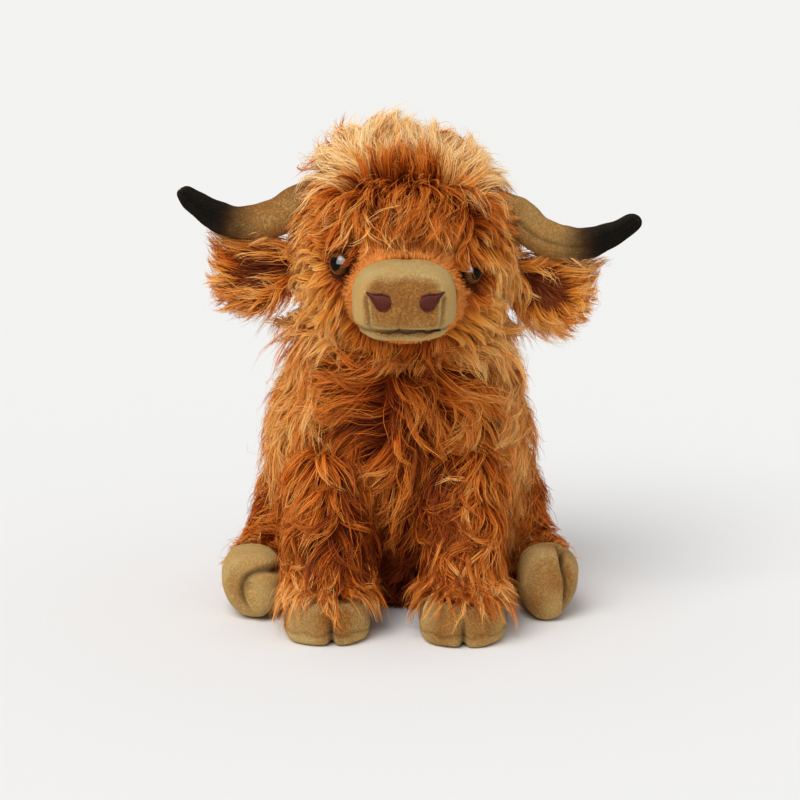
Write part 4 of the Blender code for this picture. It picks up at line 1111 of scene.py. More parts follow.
def rim(made):
    """How far each point of a piece turns away from the way the muzzle faces, 0 to 1."""
    outs = np.array([point.normal for point in made.data.vertices])
    return falling(np.abs(outs @ np.array(muzzle_place.to_3x3() @ Vector(ALONG_Y))), 0.88, 0.36)


def dent(gaps, width):
    """How deep a sewn groove pulls in at a distance from its line, 1 on the line."""
    return np.exp(-(gaps / width) ** 2)


def line_gap(places, one, other):
    """Distance in X and Z from places to a straight line between two points."""
    one, other = np.array(one), np.array(other)
    flat = places[:, (0, 2)] - one
    along = other - one
    share = np.clip(flat @ along / (along @ along), 0, 1)[:, None]
    return np.linalg.norm(flat - share * along, axis=1)[:, None]


tan_plush = tan_finish("tan_plush")
thread = stitch_finish("thread", (50, 14, 6), (92, 36, 22))
half_wide, half_high = MUZZLE_SIZE[0] / 2 - MUZZLE_INSET[0], MUZZLE_SIZE[2] / 2 - MUZZLE_INSET[1]
muzzle_middle = Vector(SNOUT)
level = Matrix.Rotation(-HEAD_ROLL * MUZZLE_LEVEL, 4, "Y")
muzzle_place = head_place @ Matrix.Translation(muzzle_middle) @ level @ Matrix.Translation(-muzzle_middle)
muzzle_rings = [ring_place((0.0, MUZZLE_BACK + MUZZLE_SUNK, SNOUT[2]), half_wide * 0.97, half_high * 0.97)]
for turn in np.linspace(0.0, math.pi / 2, 42):
    out = math.sin(turn) ** 0.72
    spread = max(math.cos(turn), 0.0) ** 0.42
    bulge = 0.0012 * (1 - spread)
    centre = (-0.0006 * out, MUZZLE_BACK - MUZZLE_SIZE[1] * out * 0.955 - bulge, SNOUT[2])
    muzzle_rings.append(ring_place(centre, max(half_wide * spread, 0.0004), max(half_high * spread, 0.0003)))
muzzle_base = drawn(muzzle_rings, 168, MUZZLE_ROUND)


def muzzle_lines(places):
    """Depth of the sewn grooves of the muzzle's face at each place, in metres."""
    ahead = falling(places[:, 1:2], -0.082, 0.008)
    nostril_x, nostril_z = NOSTRIL_PLACE
    total = np.zeros((len(places), 1))
    for side in LEFT_RIGHT.values():
        top = (FACE_SHIFT + side * (nostril_x + 0.0062), nostril_z + 0.001)
        foot = (FACE_SHIFT + side * (nostril_x + 0.0042), MOUTH_RISE + 0.002)
        total += dent(line_gap(places, top, foot), 0.0010) * SEAM_DEPTH * ahead
    top = (FACE_SHIFT - 0.0024, MOUTH_RISE + 0.0075)
    total += dent(line_gap(places, top, (FACE_SHIFT - 0.0028, MOUTH_RISE)), 0.0008) * 0.0006 * ahead
    return total


def widened(places, share):
    """Widen or narrow the face about its middle line."""
    shaped = places.copy()
    shaped[:, :1] = (places[:, :1] - FACE_SHIFT) * share + FACE_SHIFT
    return shaped


def muzzle_shape(places, outs):
    """Shape the block as stuffing does: full above, wider at the jowls, puckered along its seams."""
    x, y, z = columns(places)
    shaped = widened(places, 1 + 0.15 * falling(z, SNOUT[2], half_high) ** 2)
    shaped += outs * (-dent(np.abs(z - MOUTH_RISE), 0.0017) * 0.0019)
    shaped += outs * -muzzle_lines(places)
    for side in LEFT_RIGHT.values():
        nostril = np.hypot(x - FACE_SHIFT - side * NOSTRIL_PLACE[0], z - NOSTRIL_PLACE[1])
        shaped += outs * dent(nostril, 0.0062) * -SEAM_DEPTH * (y < -0.085)
    shaped += outs * drift(places, 0.012, 51) * 0.00022
    return shaped


moved(muzzle_base, muzzle_shape)
muzzle_tree = BVHTree.FromBMesh(muzzle_base)


def muzzle_part(name, node, keep_above, change=None):
    """Cut the block along the mouth, close it and keep the part above or below."""
    mesh = muzzle_base.copy()
    everything = mesh.verts[:] + mesh.edges[:] + mesh.faces[:]
    bmesh.ops.bisect_plane(
        mesh, geom=everything, plane_co=(0.0, 0.0, MOUTH_RISE + (0.0001 if keep_above else -0.0001)),
        plane_no=(0.0, 0.0, 1.0), clear_inner=keep_above, clear_outer=not keep_above)
    bmesh.ops.holes_fill(mesh, edges=[edge for edge in mesh.edges if edge.is_boundary])
    if change:
        moved(mesh, change)
    places = np.array([point.co for point in mesh.verts])
    x, _, z = columns(places)
    # painted shade along the darts and the mouth line
    crease_shades = np.clip(muzzle_lines(places) / SEAM_DEPTH, 0, 1) * 0.4
    crease_shades = crease_shades + dent(np.abs(z - MOUTH_RISE), 0.0008) * 0.6
    bmesh.ops.transform(mesh, matrix=muzzle_place, verts=mesh.verts)
    made = piece(name, mesh, tan_plush, "head", "tan_plush", node, fill=0.9)
    marked(made, "fold", np.clip(crease_shades, 0, 1))
    # painted light: paler at the rims as painted sheen, and paler low down and at the far sides
    lower = falling(z, SNOUT[2] - 0.004, 0.012) + rising(np.abs(x - FACE_SHIFT), 0.013, 0.008)
    marked(made, "nap", np.clip(rim(made) * 0.85 + lower[:, 0] * 0.34 + 0.05, 0, 1))


def lip_shape(places, outs):
    """The lip sits a little behind the muzzle and is narrower, with a soft lower edge."""
    _, y, z = columns(places)
    shaped = widened(places, 0.975 + 0.02 * falling(z, MOUTH_RISE - 0.001, 0.005))
    shaped[:, 1:2] = y + 0.0013 * falling(y, -0.075, 0.02)
    return shaped


muzzle_part("muzzle_plush", "muzzle", True)
muzzle_part("lip_plush", "lower_lip", False, lip_shape)


def on_muzzle(across, up, above=0.0):
    """The point of the muzzle's face at X and Z, raised a little towards the viewer."""
    found = muzzle_tree.ray_cast(Vector((across, -0.3, up)), Vector((0.0, 1.0, 0.0)))[0]
    found = found or muzzle_tree.find_nearest(Vector((across, MUZZLE_BACK - MUZZLE_SIZE[1], up)))[0]
    return np.array((across, found.y - above, up))


def inside(outline, across, up):
    """Whether a point lies in an outline."""
    odd = False
    for (ax, az), (bx, bz) in zip(outline, outline[1:] + outline[:1]):
        if (az > up) != (bz > up) and across < ax + (up - az) * (bx - ax) / (bz - az):
            odd = not odd
    return odd


generator = np.random.default_rng(52)
for side_name, side in LEFT_RIGHT.items():
    middle_x, middle_z = FACE_SHIFT + side * NOSTRIL_PLACE[0], NOSTRIL_PLACE[1]
    wide, high = NOSTRIL_SIZE
    outline = [(middle_x + side * wide * x, middle_z + high * z) for x, z in NOSTRIL_SHARES]
    stitches = []
    for across in np.arange(middle_x - wide * 0.6, middle_x + wide * 0.6, THREAD_WIDTH * 0.62):
        ups = np.linspace(middle_z - high * 0.6, middle_z + high * 0.6, 60)
        ups = [up for up in ups if inside(outline, across, up)]
        if len(ups) > 3:
            foot, top = ups[0] - generator.uniform(0, 0.0004), ups[-1] + generator.uniform(0, 0.0004)
            lean = generator.normal(0, 0.00008)
            row = []
            for share in np.linspace(0, 1, STITCH_POINTS):
                raised = THREAD_WIDTH * math.sin(math.pi * min(max(share, 0.04), 0.96)) ** 0.6
                row.append(on_muzzle(across + lean * share, foot + (top - foot) * share, raised))
            stitches.append(row)
    for (ax, az), (bx, bz) in zip(outline, outline[1:] + outline[:1]):
        row = []
        for share in np.linspace(-0.08, 1.08, STITCH_POINTS):
            row.append(on_muzzle(ax + (bx - ax) * share, az + (bz - az) * share, 0.0004))
        stitches.append(row)
    paths = carried(muzzle_place, np.array(stitches))[0]
    widths = np.full(paths.shape[:2], THREAD_WIDTH) * 1.25
    sewn = tubes(paths, widths, generator.uniform(0, 1, len(paths)), 5)
    piece("nostril_thread_" + side_name, sewn, thread, "head", "thread", "nostril_" + side_name)

stitches, widths = [], []
for across in np.arange(-MOUTH_HALF, MOUTH_HALF - 0.004, MOUTH_PITCH):
    wobble = generator.normal(0, 0.00028, 2)
    row = []
    for share in np.linspace(0, 1, STITCH_POINTS):
        up = MOUTH_RISE + wobble[0] + (wobble[1] - wobble[0]) * share + across * MOUTH_TILT
        up += 0.00032 * math.sin((across + MOUTH_PITCH * share) * 700.0)
        raised = 0.0001 + 0.0003 * math.sin(math.pi * share)
        row.append(on_muzzle(MOUTH_SHIFT + across + MOUTH_STITCH * share, up, raised))
    stitches.append(row)
    widths.append([np.interp(across, *MOUTH_THREAD)] * STITCH_POINTS)
paths = carried(muzzle_place, np.array(stitches))[0]
sewn = tubes(paths, np.array(widths), generator.uniform(0, 1, len(paths)), 6)
mouth_thread = stitch_finish("mouth_thread", (30, 12, 6), (64, 34, 18))
piece("mouth_thread", sewn, mouth_thread, "head", "thread", "mouth_stitch")

# Eyes
# Glossy safety eyes: a brown and black dome moulded on a shank, pushed through the cover and locked
# from inside by a white washer.
EYE_RADIUS = 0.00625
EYE_DOME = 0.0052
EYE_SHANK = (0.0017, 0.0105)
EYE_SINK = 0.0012
EYE_RIM = 0.0001
EYE_FLANGE = 0.0006
PUPIL_SHARE = 0.50
IRIS_SHARE = 0.70
DOME_STEPS = 18

eye_finish = Finish("eye_plastic")
eye_ring = eye_finish.marks("ring")
eye_streak = eye_finish.marks("ray").wave() * 0.25 + eye_finish.noise(0.0009, 3.0).between(0.3, 0.7) * 0.5
iris = eye_finish.mix(eye_streak.between(0.0, 0.6), paint(74, 40, 16), paint(128, 78, 34))
iris = eye_finish.mix(eye_ring.between(IRIS_SHARE, 0.98), iris, paint(22, 12, 8))
eye_colour = eye_finish.mix(1 - eye_ring.between(PUPIL_SHARE, PUPIL_SHARE + 0.06), iris, paint(8, 6, 6))
eye_plastic = eye_finish.surface(
    eye_colour, 0.15, Coat_Weight=0.6, Coat_Roughness=0.04, Coat_IOR=1.5, Specular_IOR_Level=0.3)
dome_radius = (EYE_RADIUS**2 + EYE_DOME**2) / (2 * EYE_DOME)
dome_angle = math.asin(min(EYE_RADIUS / dome_radius, 1.0))
shank_radius, shank_length = EYE_SHANK
profile = [(0.0, -shank_length), (shank_radius, -shank_length), (shank_radius, -EYE_FLANGE)]
profile += [(EYE_RADIUS * 0.94, -EYE_FLANGE), (EYE_RADIUS, -EYE_RIM)]
for step in range(DOME_STEPS):
    angle = dome_angle * (1.0 - step / DOME_STEPS)
    rise = EYE_DOME - dome_radius * (1.0 - math.cos(angle)) + EYE_RIM
    profile.append((dome_radius * math.sin(angle), rise))
profile.append((0.0, EYE_DOME + EYE_RIM))
for side_name, side in LEFT_RIGHT.items():
    outward = Vector((side * math.sin(EYE_TURN), -math.cos(EYE_TURN), 0.0))
    seat = eye_seats[side_name] - outward * EYE_SINK
    eye_place = head_place @ Matrix.Translation(seat) @ outward.to_track_quat("Z", "Y").to_matrix().to_4x4()
    mesh = bmesh.new()
    points = [mesh.verts.new((radius, 0.0, height)) for radius, height in profile]
    for one, other in zip(points, points[1:]):
        mesh.edges.new((one, other))
    bmesh.ops.spin(
        mesh, geom=mesh.verts[:] + mesh.edges[:], cent=(0, 0, 0), axis=(0, 0, 1), angle=math.tau, steps=64,
        use_merge=True)
    bmesh.ops.remove_doubles(mesh, verts=mesh.verts, dist=0.000002)
    bmesh.ops.recalc_face_normals(mesh, faces=mesh.faces)
    places = np.array([point.co for point in mesh.verts])
    rings = np.hypot(places[:, 0], places[:, 1]) / EYE_RADIUS
    rays = np.arctan2(places[:, 1], places[:, 0]) * 22
    bmesh.ops.transform(mesh, matrix=eye_place, verts=mesh.verts)
    eye = piece("eye_dome_" + side_name, mesh, eye_plastic, "head", "eye_plastic", "eye_" + side_name)
    marked(eye, "ring", np.where(places[:, 2] < -EYE_FLANGE / 2, 1.2, rings))
    marked(eye, "ray", rays)

washer_finish = Finish("white_nylon")
washer_grain = washer_finish.noise(0.0008)
white_nylon = washer_finish.surface(
    washer_finish.mix(washer_grain, paint(222, 222, 216), paint(236, 236, 230)), 0.42,
    Normal=washer_finish.bump(washer_grain, 0.0001))
for side_name in LEFT_RIGHT:
    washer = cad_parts["eye_washer_" + side_name]
    washer.data.materials.clear()
    washer.data.materials.append(white_nylon)

# Horns
# Curved tubes of the same short tan plush, stuffed firm, sewn to the sides of the head between the
# pile, with a seam underneath and tips sprayed black.
HORN_REACH = 0.070
HORN_DIP = 0.0150
HORN_FORWARD = 0.012
HORN_RADIUS = 0.0096
HORN_SINK = 0.0075
HORN_ALONG = 0.435
HORN_UP = math.radians(22.5)
HORN_SIDES = 48
HORN_SEAM = 36
HORN_TOP = 12
# rows of reach, dip, forward and radius
HORN_SHARES = (
    (0.00, 0.00, 0.00, 0.98),
    (0.09, 0.13, 0.02, 1.00),
    (0.19, 0.36, 0.06, 0.99),
    (0.33, 0.78, 0.14, 0.96),
    (0.50, 1.00, 0.28, 0.90),
    (0.65, 0.96, 0.45, 0.81),
    (0.79, 0.68, 0.64, 0.69),
    (0.90, 0.34, 0.82, 0.56),
    (0.965, 0.09, 0.93, 0.46),
    (0.99, -0.02, 0.97, 0.34),
    (1.00, -0.07, 0.99, 0.16),
)
horn_plush = tan_finish("horn_plush", True)
horn_rows = smoothed(HORN_SHARES, 56)
round_horn = np.tile(np.arange(HORN_SIDES), len(horn_rows))
seam_gap = np.abs(round_horn - HORN_SEAM)


def horn_shape(places, outs):
    """Slightly uneven stuffing, drawn in along the seam."""
    return places + outs * (drift(places, 0.014, 61) * 0.00035 - dent(seam_gap[:, None], 1.0) * 0.0007)


for side_name, side in LEFT_RIGHT.items():
    root = head_point(HORN_ALONG, HORN_UP, side) - Vector((side * HORN_SINK, 0.0, 0.0))
    points = []
    for reach, dip, forward, _ in horn_rows:
        points.append(root + Vector((side * HORN_REACH * reach, -HORN_FORWARD * forward, -HORN_DIP * dip)))
    horn_rings = []
    for index, (point, row) in enumerate(zip(points, horn_rows)):
        way = points[min(index + 1, len(points) - 1)] - points[max(index - 1, 0)]
        across = way.cross(Vector(ALONG_Z))
        radius = max(HORN_RADIUS * row[3], 0.0006)
        horn_rings.append(ring_place(point, radius, radius, across, across.cross(way)))
    mesh = moved(drawn(horn_rings, HORN_SIDES), horn_shape)
    bmesh.ops.transform(mesh, matrix=head_place, verts=mesh.verts)
    node = "horn_" + side_name
    horn = piece("horn_plush_" + side_name, mesh, horn_plush, "head", "tan_plush", node, fill=0.95)
    above = np.clip(np.cos((round_horn - HORN_TOP) * math.tau / HORN_SIDES), 0, 1)
    marked(horn, "reach", np.repeat([row[0] for row in horn_rows], HORN_SIDES))
    # painted light: paler along the top of each horn and on the right horn; the seam underneath darker as
    # painted shade
    marked(horn, "nap", above * 0.3 + 0.18 + 0.18 * side)
    marked(horn, "fold", dent(seam_gap, 0.8) * 0.5)

# Ears
# Flat, drooping leaves sewn to the sides of the head under the horns: long pile that hangs off the
# edge and tip, and a patch of short dark red-brown pile inside, dark as painted shade in the hollow of the
# ear.
EAR_LENGTH = 0.044
EAR_WIDTH = 0.030
EAR_THICKNESS = 0.011
EAR_DROOP = math.radians(25.0)
EAR_ALONG = 0.45
EAR_UP = math.radians(-9.0)
EAR_SINK = 0.0025
# rows of length, width and thickness
EAR_SHARES = (
    (-0.12, 0.30, 0.90),
    (0.05, 0.48, 0.95),
    (0.23, 0.55, 0.84),
    (0.34, 0.80, 0.94),
    (0.50, 1.00, 1.00),
    (0.68, 0.97, 0.96),
    (0.84, 0.74, 0.80),
    (0.95, 0.42, 0.54),
    (1.00, 0.10, 0.20),
)
# the lining's dark pile and dark backing are painted shade in the hollow of the ear
shaded_lining_pile = pile_finish(
    "dark_lining", ((40, 8, 2), (76, 22, 6), (108, 42, 14)), ((60, 16, 4), (116, 48, 14), (160, 84, 36)))
shaded_lining_backing = backing_finish("shaded_lining_backing", (52, 16, 8))
for side_name, side in LEFT_RIGHT.items():
    ear_root = head_point(EAR_ALONG, EAR_UP, side) - Vector((side * EAR_SINK, 0.0, 0.0))
    outward = Vector((side * math.cos(EAR_DROOP), 0.0, -math.sin(EAR_DROOP)))
    upward = Vector((side * math.sin(EAR_DROOP), 0.0, math.cos(EAR_DROOP)))
    ear_turn = Matrix([[*row] for row in zip(outward, (0.0, 1.0, 0.0), upward)]).to_4x4()
    ear_place = head_place @ Matrix.Translation(ear_root) @ ear_turn
    rings = []
    for along, width, thick in smoothed(EAR_SHARES, 26):
        half_width = max(EAR_WIDTH * width / 2 - 0.002, 0.001)
        half_thick = max(EAR_THICKNESS * thick / 2 - 0.0032, 0.0008)
        centre = (EAR_LENGTH * along - 0.001, 0.0, 0.0)
        rings.append(ring_place(centre, half_width, half_thick, ALONG_Z, ALONG_Y))
    mesh = drawn(rings, 40)
    ear_skin = mesh.copy()
    if ear_turn.determinant() < 0:
        bmesh.ops.reverse_faces(mesh, faces=mesh.faces)
    bmesh.ops.transform(mesh, matrix=ear_place, verts=mesh.verts)
    ear_body = "ear_" + side_name
    piece("ear_cover_" + side_name, mesh, shaded_lining_backing, ear_body, "long_pile", ear_body, fill=0.2)
    hang = np.array(ear_turn.to_3x3()).T @ DOWN

    def ear_flow(places, outs):
        """Out along the ear, up off its upper edge and down off its lower one."""
        above = np.clip(places[:, 2:] / EAR_WIDTH, -0.5, 0.5)
        far = np.clip(places[:, :1] / EAR_LENGTH, 0, 1)
        way = ALONG_X * (0.7 + 0.5 * far) + hang * np.clip(0.35 - 1.4 * above, 0.0, 0.9)
        way = way + ALONG_Z * (np.clip(above, 0, 1) * 4.2 + 0.34 * far)
        return swirled(way, places, outs, 0.7, (0.03, 71 + side, 0.5))

    def lining_keep(places, outs):
        """The lining is an oval patch on the ear's front."""
        x, y, z = columns(places)
        oval = ((x / EAR_LENGTH - 0.40) / 0.34) ** 2 + ((z - 0.001) / (EAR_WIDTH * 0.33)) ** 2
        return (y < -0.0012) & (oval < 0.88 - 0.12 * side)

    def ear_keep(places, outs):
        """Long pile grows all round the lining."""
        return ~lining_keep(places, outs) & (places[:, :1] > -0.002)

    generator = np.random.default_rng(72 + side)
    roots, outs = scattered(ear_skin, 0.0029, generator, ear_keep)
    count = len(roots)
    x, y, z = columns(roots)
    lengths = generator.uniform(0.014, 0.023, (count, 1)) * (1 + 0.35 * np.clip(-z / 0.015, 0, 1))
    lengths = lengths * (1 - 0.35 * np.clip(x / EAR_LENGTH - 0.5, 0, 0.5) * 2)
    bends = generator.normal(0, (0.3, 0.6), (count, 2))
    lengths = lengths * (1 - (0.36 + 0.12 * side) * np.clip(x / EAR_LENGTH - 0.55, 0, 0.35) / 0.35)
    lengths = lengths + 0.009 * np.clip(z / 0.010, 0, 1) + 0.008 * np.clip(1 - x / 0.014, 0, 1)
    heights = generator.uniform(0.0025, 0.0085, (count, 1)) * np.clip(0.5 + np.abs(z) / 0.012, 0.5, 1)
    lines, lifts = combed(ear_skin, roots, outs, ear_flow, lengths, heights, lift=0.5, hold=0.04, bends=bends)
    lines, lifts = carried(ear_place, lines, lifts)
    # the right ear paler as painted light; paler too towards the upper and lower edges
    tones = 0.90 + 0.12 * side + 0.25 * drift(roots, 0.015, 73) + 0.2 * np.abs(z) / 0.012
    curl, turns = generator.uniform(0.001, 0.0035, (count, 1)), generator.uniform(0.5, 1.1, (count, 1))
    fibres = pile(lines, lifts, generator, 13, 0.0021, curl, turns, tones)
    piece("ear_pile_" + side_name, fibres, long_pile, ear_body, "long_pile", ear_body)
    fibres = loose_pile(lines, lifts, 75, 6, 0.0044, curl, turns, tones)
    piece("ear_fluff_" + side_name, fibres, long_pile, ear_body, "long_pile", ear_body)

    roots, outs = scattered(ear_skin, 0.0014, generator, lining_keep)
    lengths = generator.uniform(0.006, 0.011, (len(roots), 1))
    lines, lifts = combed(ear_skin, roots, outs, ear_flow, lengths, 0.0014, lift=0.4)
    lines, lifts = carried(ear_place, lines, lifts)
    # the right lining paler as painted light
    tones = 0.5 + 0.15 * side + 0.3 * drift(roots, 0.01, 74)
    fibres = pile(lines, lifts, generator, 8, 0.0011, 0.0006, 0.5, tones, 0.0004, (0.4, 0.7), 5)
    node = "ear_lining_" + side_name
    piece("ear_lining_pile_" + side_name, fibres, shaded_lining_pile, ear_body, "dark_lining", node)

# Front legs and hooves
# Long-pile sleeves stuffed from the shoulder to the ankle, with a cloven hoof of short tan plush sewn
# to each end. The pile hangs down the sleeve and over the top of the hoof.
LEG_SPACING = 0.065
LEG_SHIFT = -0.0025
SHOULDER_HEIGHT = 0.072
SHOULDER_SINK = 0.001
LEG_RADIUS = 0.0212
LEG_PILE = 0.0070
ANKLE_FORWARD = 0.027
HOOF_WIDTH = 0.0415
HOOF_DEPTH = 0.044
HOOF_HEIGHT = 0.0200
HOOF_TOE = 0.0015
HOOF_ROUND = 2.4
SOLE_SEAM = 0.0062
SOLE_CLEAR = 0.00015
GAP = 0.0003
# rows of height, width and depth
HOOF_SHARES = (
    (0.00, 0.80, 0.80),
    (0.06, 0.91, 0.91),
    (0.15, 0.97, 0.97),
    (0.32, 1.00, 1.00),
    (0.60, 0.98, 0.97),
    (0.86, 0.92, 0.88),
    (1.00, 0.80, 0.74),
)


def body_front(height, across):
    """The Y of the body's front at a height and a distance from its middle."""
    half_width, half_depth, middle = body_section(height)
    return middle - half_depth * math.sqrt(1.0 - (across / half_width) ** 2)


for side_name, side in LEFT_RIGHT.items():
    across = LEG_SHIFT + side * LEG_SPACING / 2
    shoulder = Vector((across, body_front(SHOULDER_HEIGHT, abs(across)) + SHOULDER_SINK, SHOULDER_HEIGHT))
    ankle = Vector((0.0, -ANKLE_FORWARD, HOOF_HEIGHT + GAP - SHOULDER_HEIGHT))
    down = ankle.normalized()
    forward = Vector((0.0, down.z, -down.y))
    rings = []
    radius = LEG_RADIUS - LEG_PILE
    for turn in np.linspace(0.06, math.pi / 2, 12):
        size = radius * math.sin(turn)
        rings.append(ring_place(shoulder - down * radius * math.cos(turn), size, size, ALONG_X, forward))
    for share in np.linspace(0.08, 1.0, 14):
        levelled = forward.lerp(Vector((0.0, -1.0, 0.0)), share)
        size = radius * (1 - 0.05 * share)
        rings.append(ring_place(shoulder + ankle * share, size, size * 0.97, ALONG_X, levelled))
    leg_mesh = drawn(rings, 36)
    leg_skin = leg_mesh.copy()
    leg_body = "front_leg_" + side_name
    piece("front_leg_cover_" + side_name, leg_mesh, backing, leg_body, "long_pile", leg_body, fill=0.8)

    hoof_foot = shoulder + ankle - Vector((0.0, HOOF_TOE, HOOF_HEIGHT + GAP))
    rings = [ring_place(hoof_foot, HOOF_WIDTH * 0.3, HOOF_DEPTH * 0.3, ALONG_X, ALONG_Y)]
    for up, width, depth in smoothed(HOOF_SHARES, 30):
        centre = hoof_foot + Vector((0.0, 0.0, max(HOOF_HEIGHT * up, 0.0)))
        rings.append(ring_place(centre, HOOF_WIDTH * width / 2, HOOF_DEPTH * depth / 2, ALONG_X, ALONG_Y))
    hoof_mesh = drawn(rings, 144, HOOF_ROUND)
    ankle_x = hoof_foot.x
    cleft_x = hoof_foot.x + (0.0024 if side < 0 else 0.0002)

    def hoof_lines(places):
        """How deep the cleft between the toes and the seam round the sole are, 0 to 1."""
        x, y, z = columns(places)
        ahead = falling(y, hoof_foot.y - 0.004, 0.012) * np.clip((0.0175 - z) / 0.010, 0.12, 1)
        seam_height = SOLE_SEAM + 0.0007 * np.sin(x * 520.0)
        return dent(x - cleft_x, 0.0017) * ahead, dent(z - seam_height, 0.0006)

    def hoof_shape(places, outs):
        """Draw the hoof in along its cleft and its seam, and keep it on the floor."""
        x, y, z = columns(places)
        cleft, seam = hoof_lines(places)
        toes = falling(y, hoof_foot.y, 0.02) * (np.abs(x - cleft_x) / 0.02)
        shaped = places + outs * (drift(places, 0.012, 81) * 0.0003 - seam * 0.0005)
        shaped[:, 1:2] += cleft * 0.0042 - 0.0006 * toes
        shaped[:, 2:] += cleft * 0.0012 * falling(z, 0.007, 0.006)
        shaped[:, 2:] = np.maximum(shaped[:, 2:], SOLE_CLEAR)
        return shaped

    places = np.array([point.co for point in hoof_mesh.verts])
    cleft, seam = hoof_lines(places)
    hoof_skin = hoof_mesh.copy()
    moved(hoof_mesh, hoof_shape)
    hoof_name = "front_hoof_plush_" + side_name
    hoof = piece(hoof_name, hoof_mesh, tan_plush, leg_body, "tan_plush", "front_hoof_" + side_name, fill=0.9)
    # painted shade in the cleft and along the sole seam; painted light paler at the rims as painted sheen and
    # a little on the left hoof, and paler below the sole seam
    marked(hoof, "fold", np.clip(cleft * 0.7 + seam * 0.4, 0, 1))
    nap = 0.18 - 0.03 * side + 0.2 * drift(places, 0.02, 83) + 0.3 * falling(places[:, 2:], SOLE_SEAM, 0.003)
    marked(hoof, "nap", nap[:, 0] + 0.34 * rim(hoof))

    def leg_flow(places, outs):
        """Down the sleeve, and spread over the top of the hoof."""
        x, _, z = columns(places)
        spread = ALONG_X * (side * 0.12 + falling(z, 0.040, 0.02) * (x - ankle_x) / 0.045)
        way = DOWN + outs * 0.10 + spread - ALONG_Y * 0.1
        return swirled(way, places, outs, 0.6, (0.03, 82 + side, 0.55), (0.014, 84, 0.25))

    def leg_keep(places, outs):
        """Pile grows down to the ankle."""
        return (outs[:, 2:] > -0.75) & (places[:, 2:] > 0.0225)

    generator = np.random.default_rng(85 + side)
    roots, outs = scattered(leg_skin, 0.0039, generator, leg_keep)
    count = len(roots)
    x, y, z = columns(roots)
    lengths = generator.uniform(0.024, 0.036, (count, 1))
    room = (z - 0.0195) * 1.15 + generator.uniform(0.001, 1.0, (count, 1)) ** 1.6 * 0.017 + 0.005
    lengths = np.minimum(lengths, np.maximum(room, 0.011))
    heights = generator.uniform(0.004, 0.0085, (count, 1))
    whole = joined(leg_skin, hoof_skin)
    bends = generator.normal(0, (0.35, 0.6), (count, 2))
    lines, lifts = combed(whole, roots, outs, leg_flow, lengths, heights, lift=0.65, hold=0.4, bends=bends)
    # painted light and shade: the left leg and the outer sides paler as painted light, the right leg and
    # inner sides darker as painted shade; paler near the hoof, and a fifth of the locks paler at random
    tones = 0.34 - 0.03 * side + 0.22 * (generator.random((count, 1)) < 0.2) + 0.2 * drift(roots, 0.018, 86)
    tones = tones + 0.55 * np.clip(np.abs(x) / 0.02 - 1.95, -0.5, 0.5) + 0.28 * falling(z, 0.045, 0.02)
    curl, turns = generator.uniform(0.001, 0.0036, (count, 1)), generator.uniform(0.6, 1.2, (count, 1))
    fibres = pile(lines, lifts, generator, 13, 0.0023, curl, turns, tones)
    piece("front_leg_pile_" + side_name, fibres, long_pile, leg_body, "long_pile", leg_body)
    fibres = loose_pile(lines, lifts, 87, 4, 0.0050, curl, turns, tones + 0.04)
    piece("front_leg_fluff_" + side_name, fibres, long_pile, leg_body, "long_pile", leg_body)

    # a fringe of single locks hangs over the front of the hoof
    fringe = (roots[:, 2] < 0.040) & (roots[:, 1] < shoulder.y) & (generator.random(count) < 0.75)
    count = fringe.sum()
    lengths = (roots[fringe, 2:] - 0.0195) * 1.1 + generator.uniform(0.008, 0.026, (count, 1))
    bends = generator.normal(0, (0.3, 0.5), (count, 2))
    heights = generator.uniform(0.0012, 0.0045, (count, 1))
    lines, lifts = combed(
        whole, roots[fringe], outs[fringe], leg_flow, lengths, heights, lift=0.5, bends=bends, speed=4.0)
    curl = generator.uniform(0.0006, 0.0026, (count, 1))
    fibres = pile(lines, lifts, generator, 8, 0.0016, curl, 0.9, 0.72, clump=(0.3, 0.85))
    piece("front_leg_fringe_" + side_name, fibres, long_pile, leg_body, "long_pile", leg_body)

# Hind legs and hooves
# Round haunches and short shins of the same long pile, sewn flat against the hips, with upturned
# cloven hooves of tan plush whose soles face forward.
HIP_PLANE = 0.87
HIP_BACK = 0.001
HAUNCH_RADIUS = 0.0345
HAUNCH_LIFT = 0.0015
HAUNCH_THICK = 0.019
HIND_PILE = 0.0065
SHIN_REACH = 0.044
SHIN_OUT = 0.018
HIND_HOOF = (0.0305, 0.0265, 0.0350)
# rows from the haunch's back to the ankle: haunch length, haunch height and thickness
HAUNCH_SHARES = (
    (-1.00, 0.16, 0.28),
    (-0.93, 0.42, 0.55),
    (-0.72, 0.72, 0.80),
    (-0.36, 0.94, 0.96),
    (0.00, 1.00, 1.00),
    (0.34, 0.94, 1.00),
)
# rows of reach, outward shift, half width and half height, the last two as shares of the hoof's
SHIN_SHARES = (
    (0.52, 0.30, 1.13, 1.42),
    (0.70, 0.60, 1.07, 1.20),
    (0.87, 0.88, 1.02, 1.06),
    (1.00, 1.00, 0.98, 0.98),
)
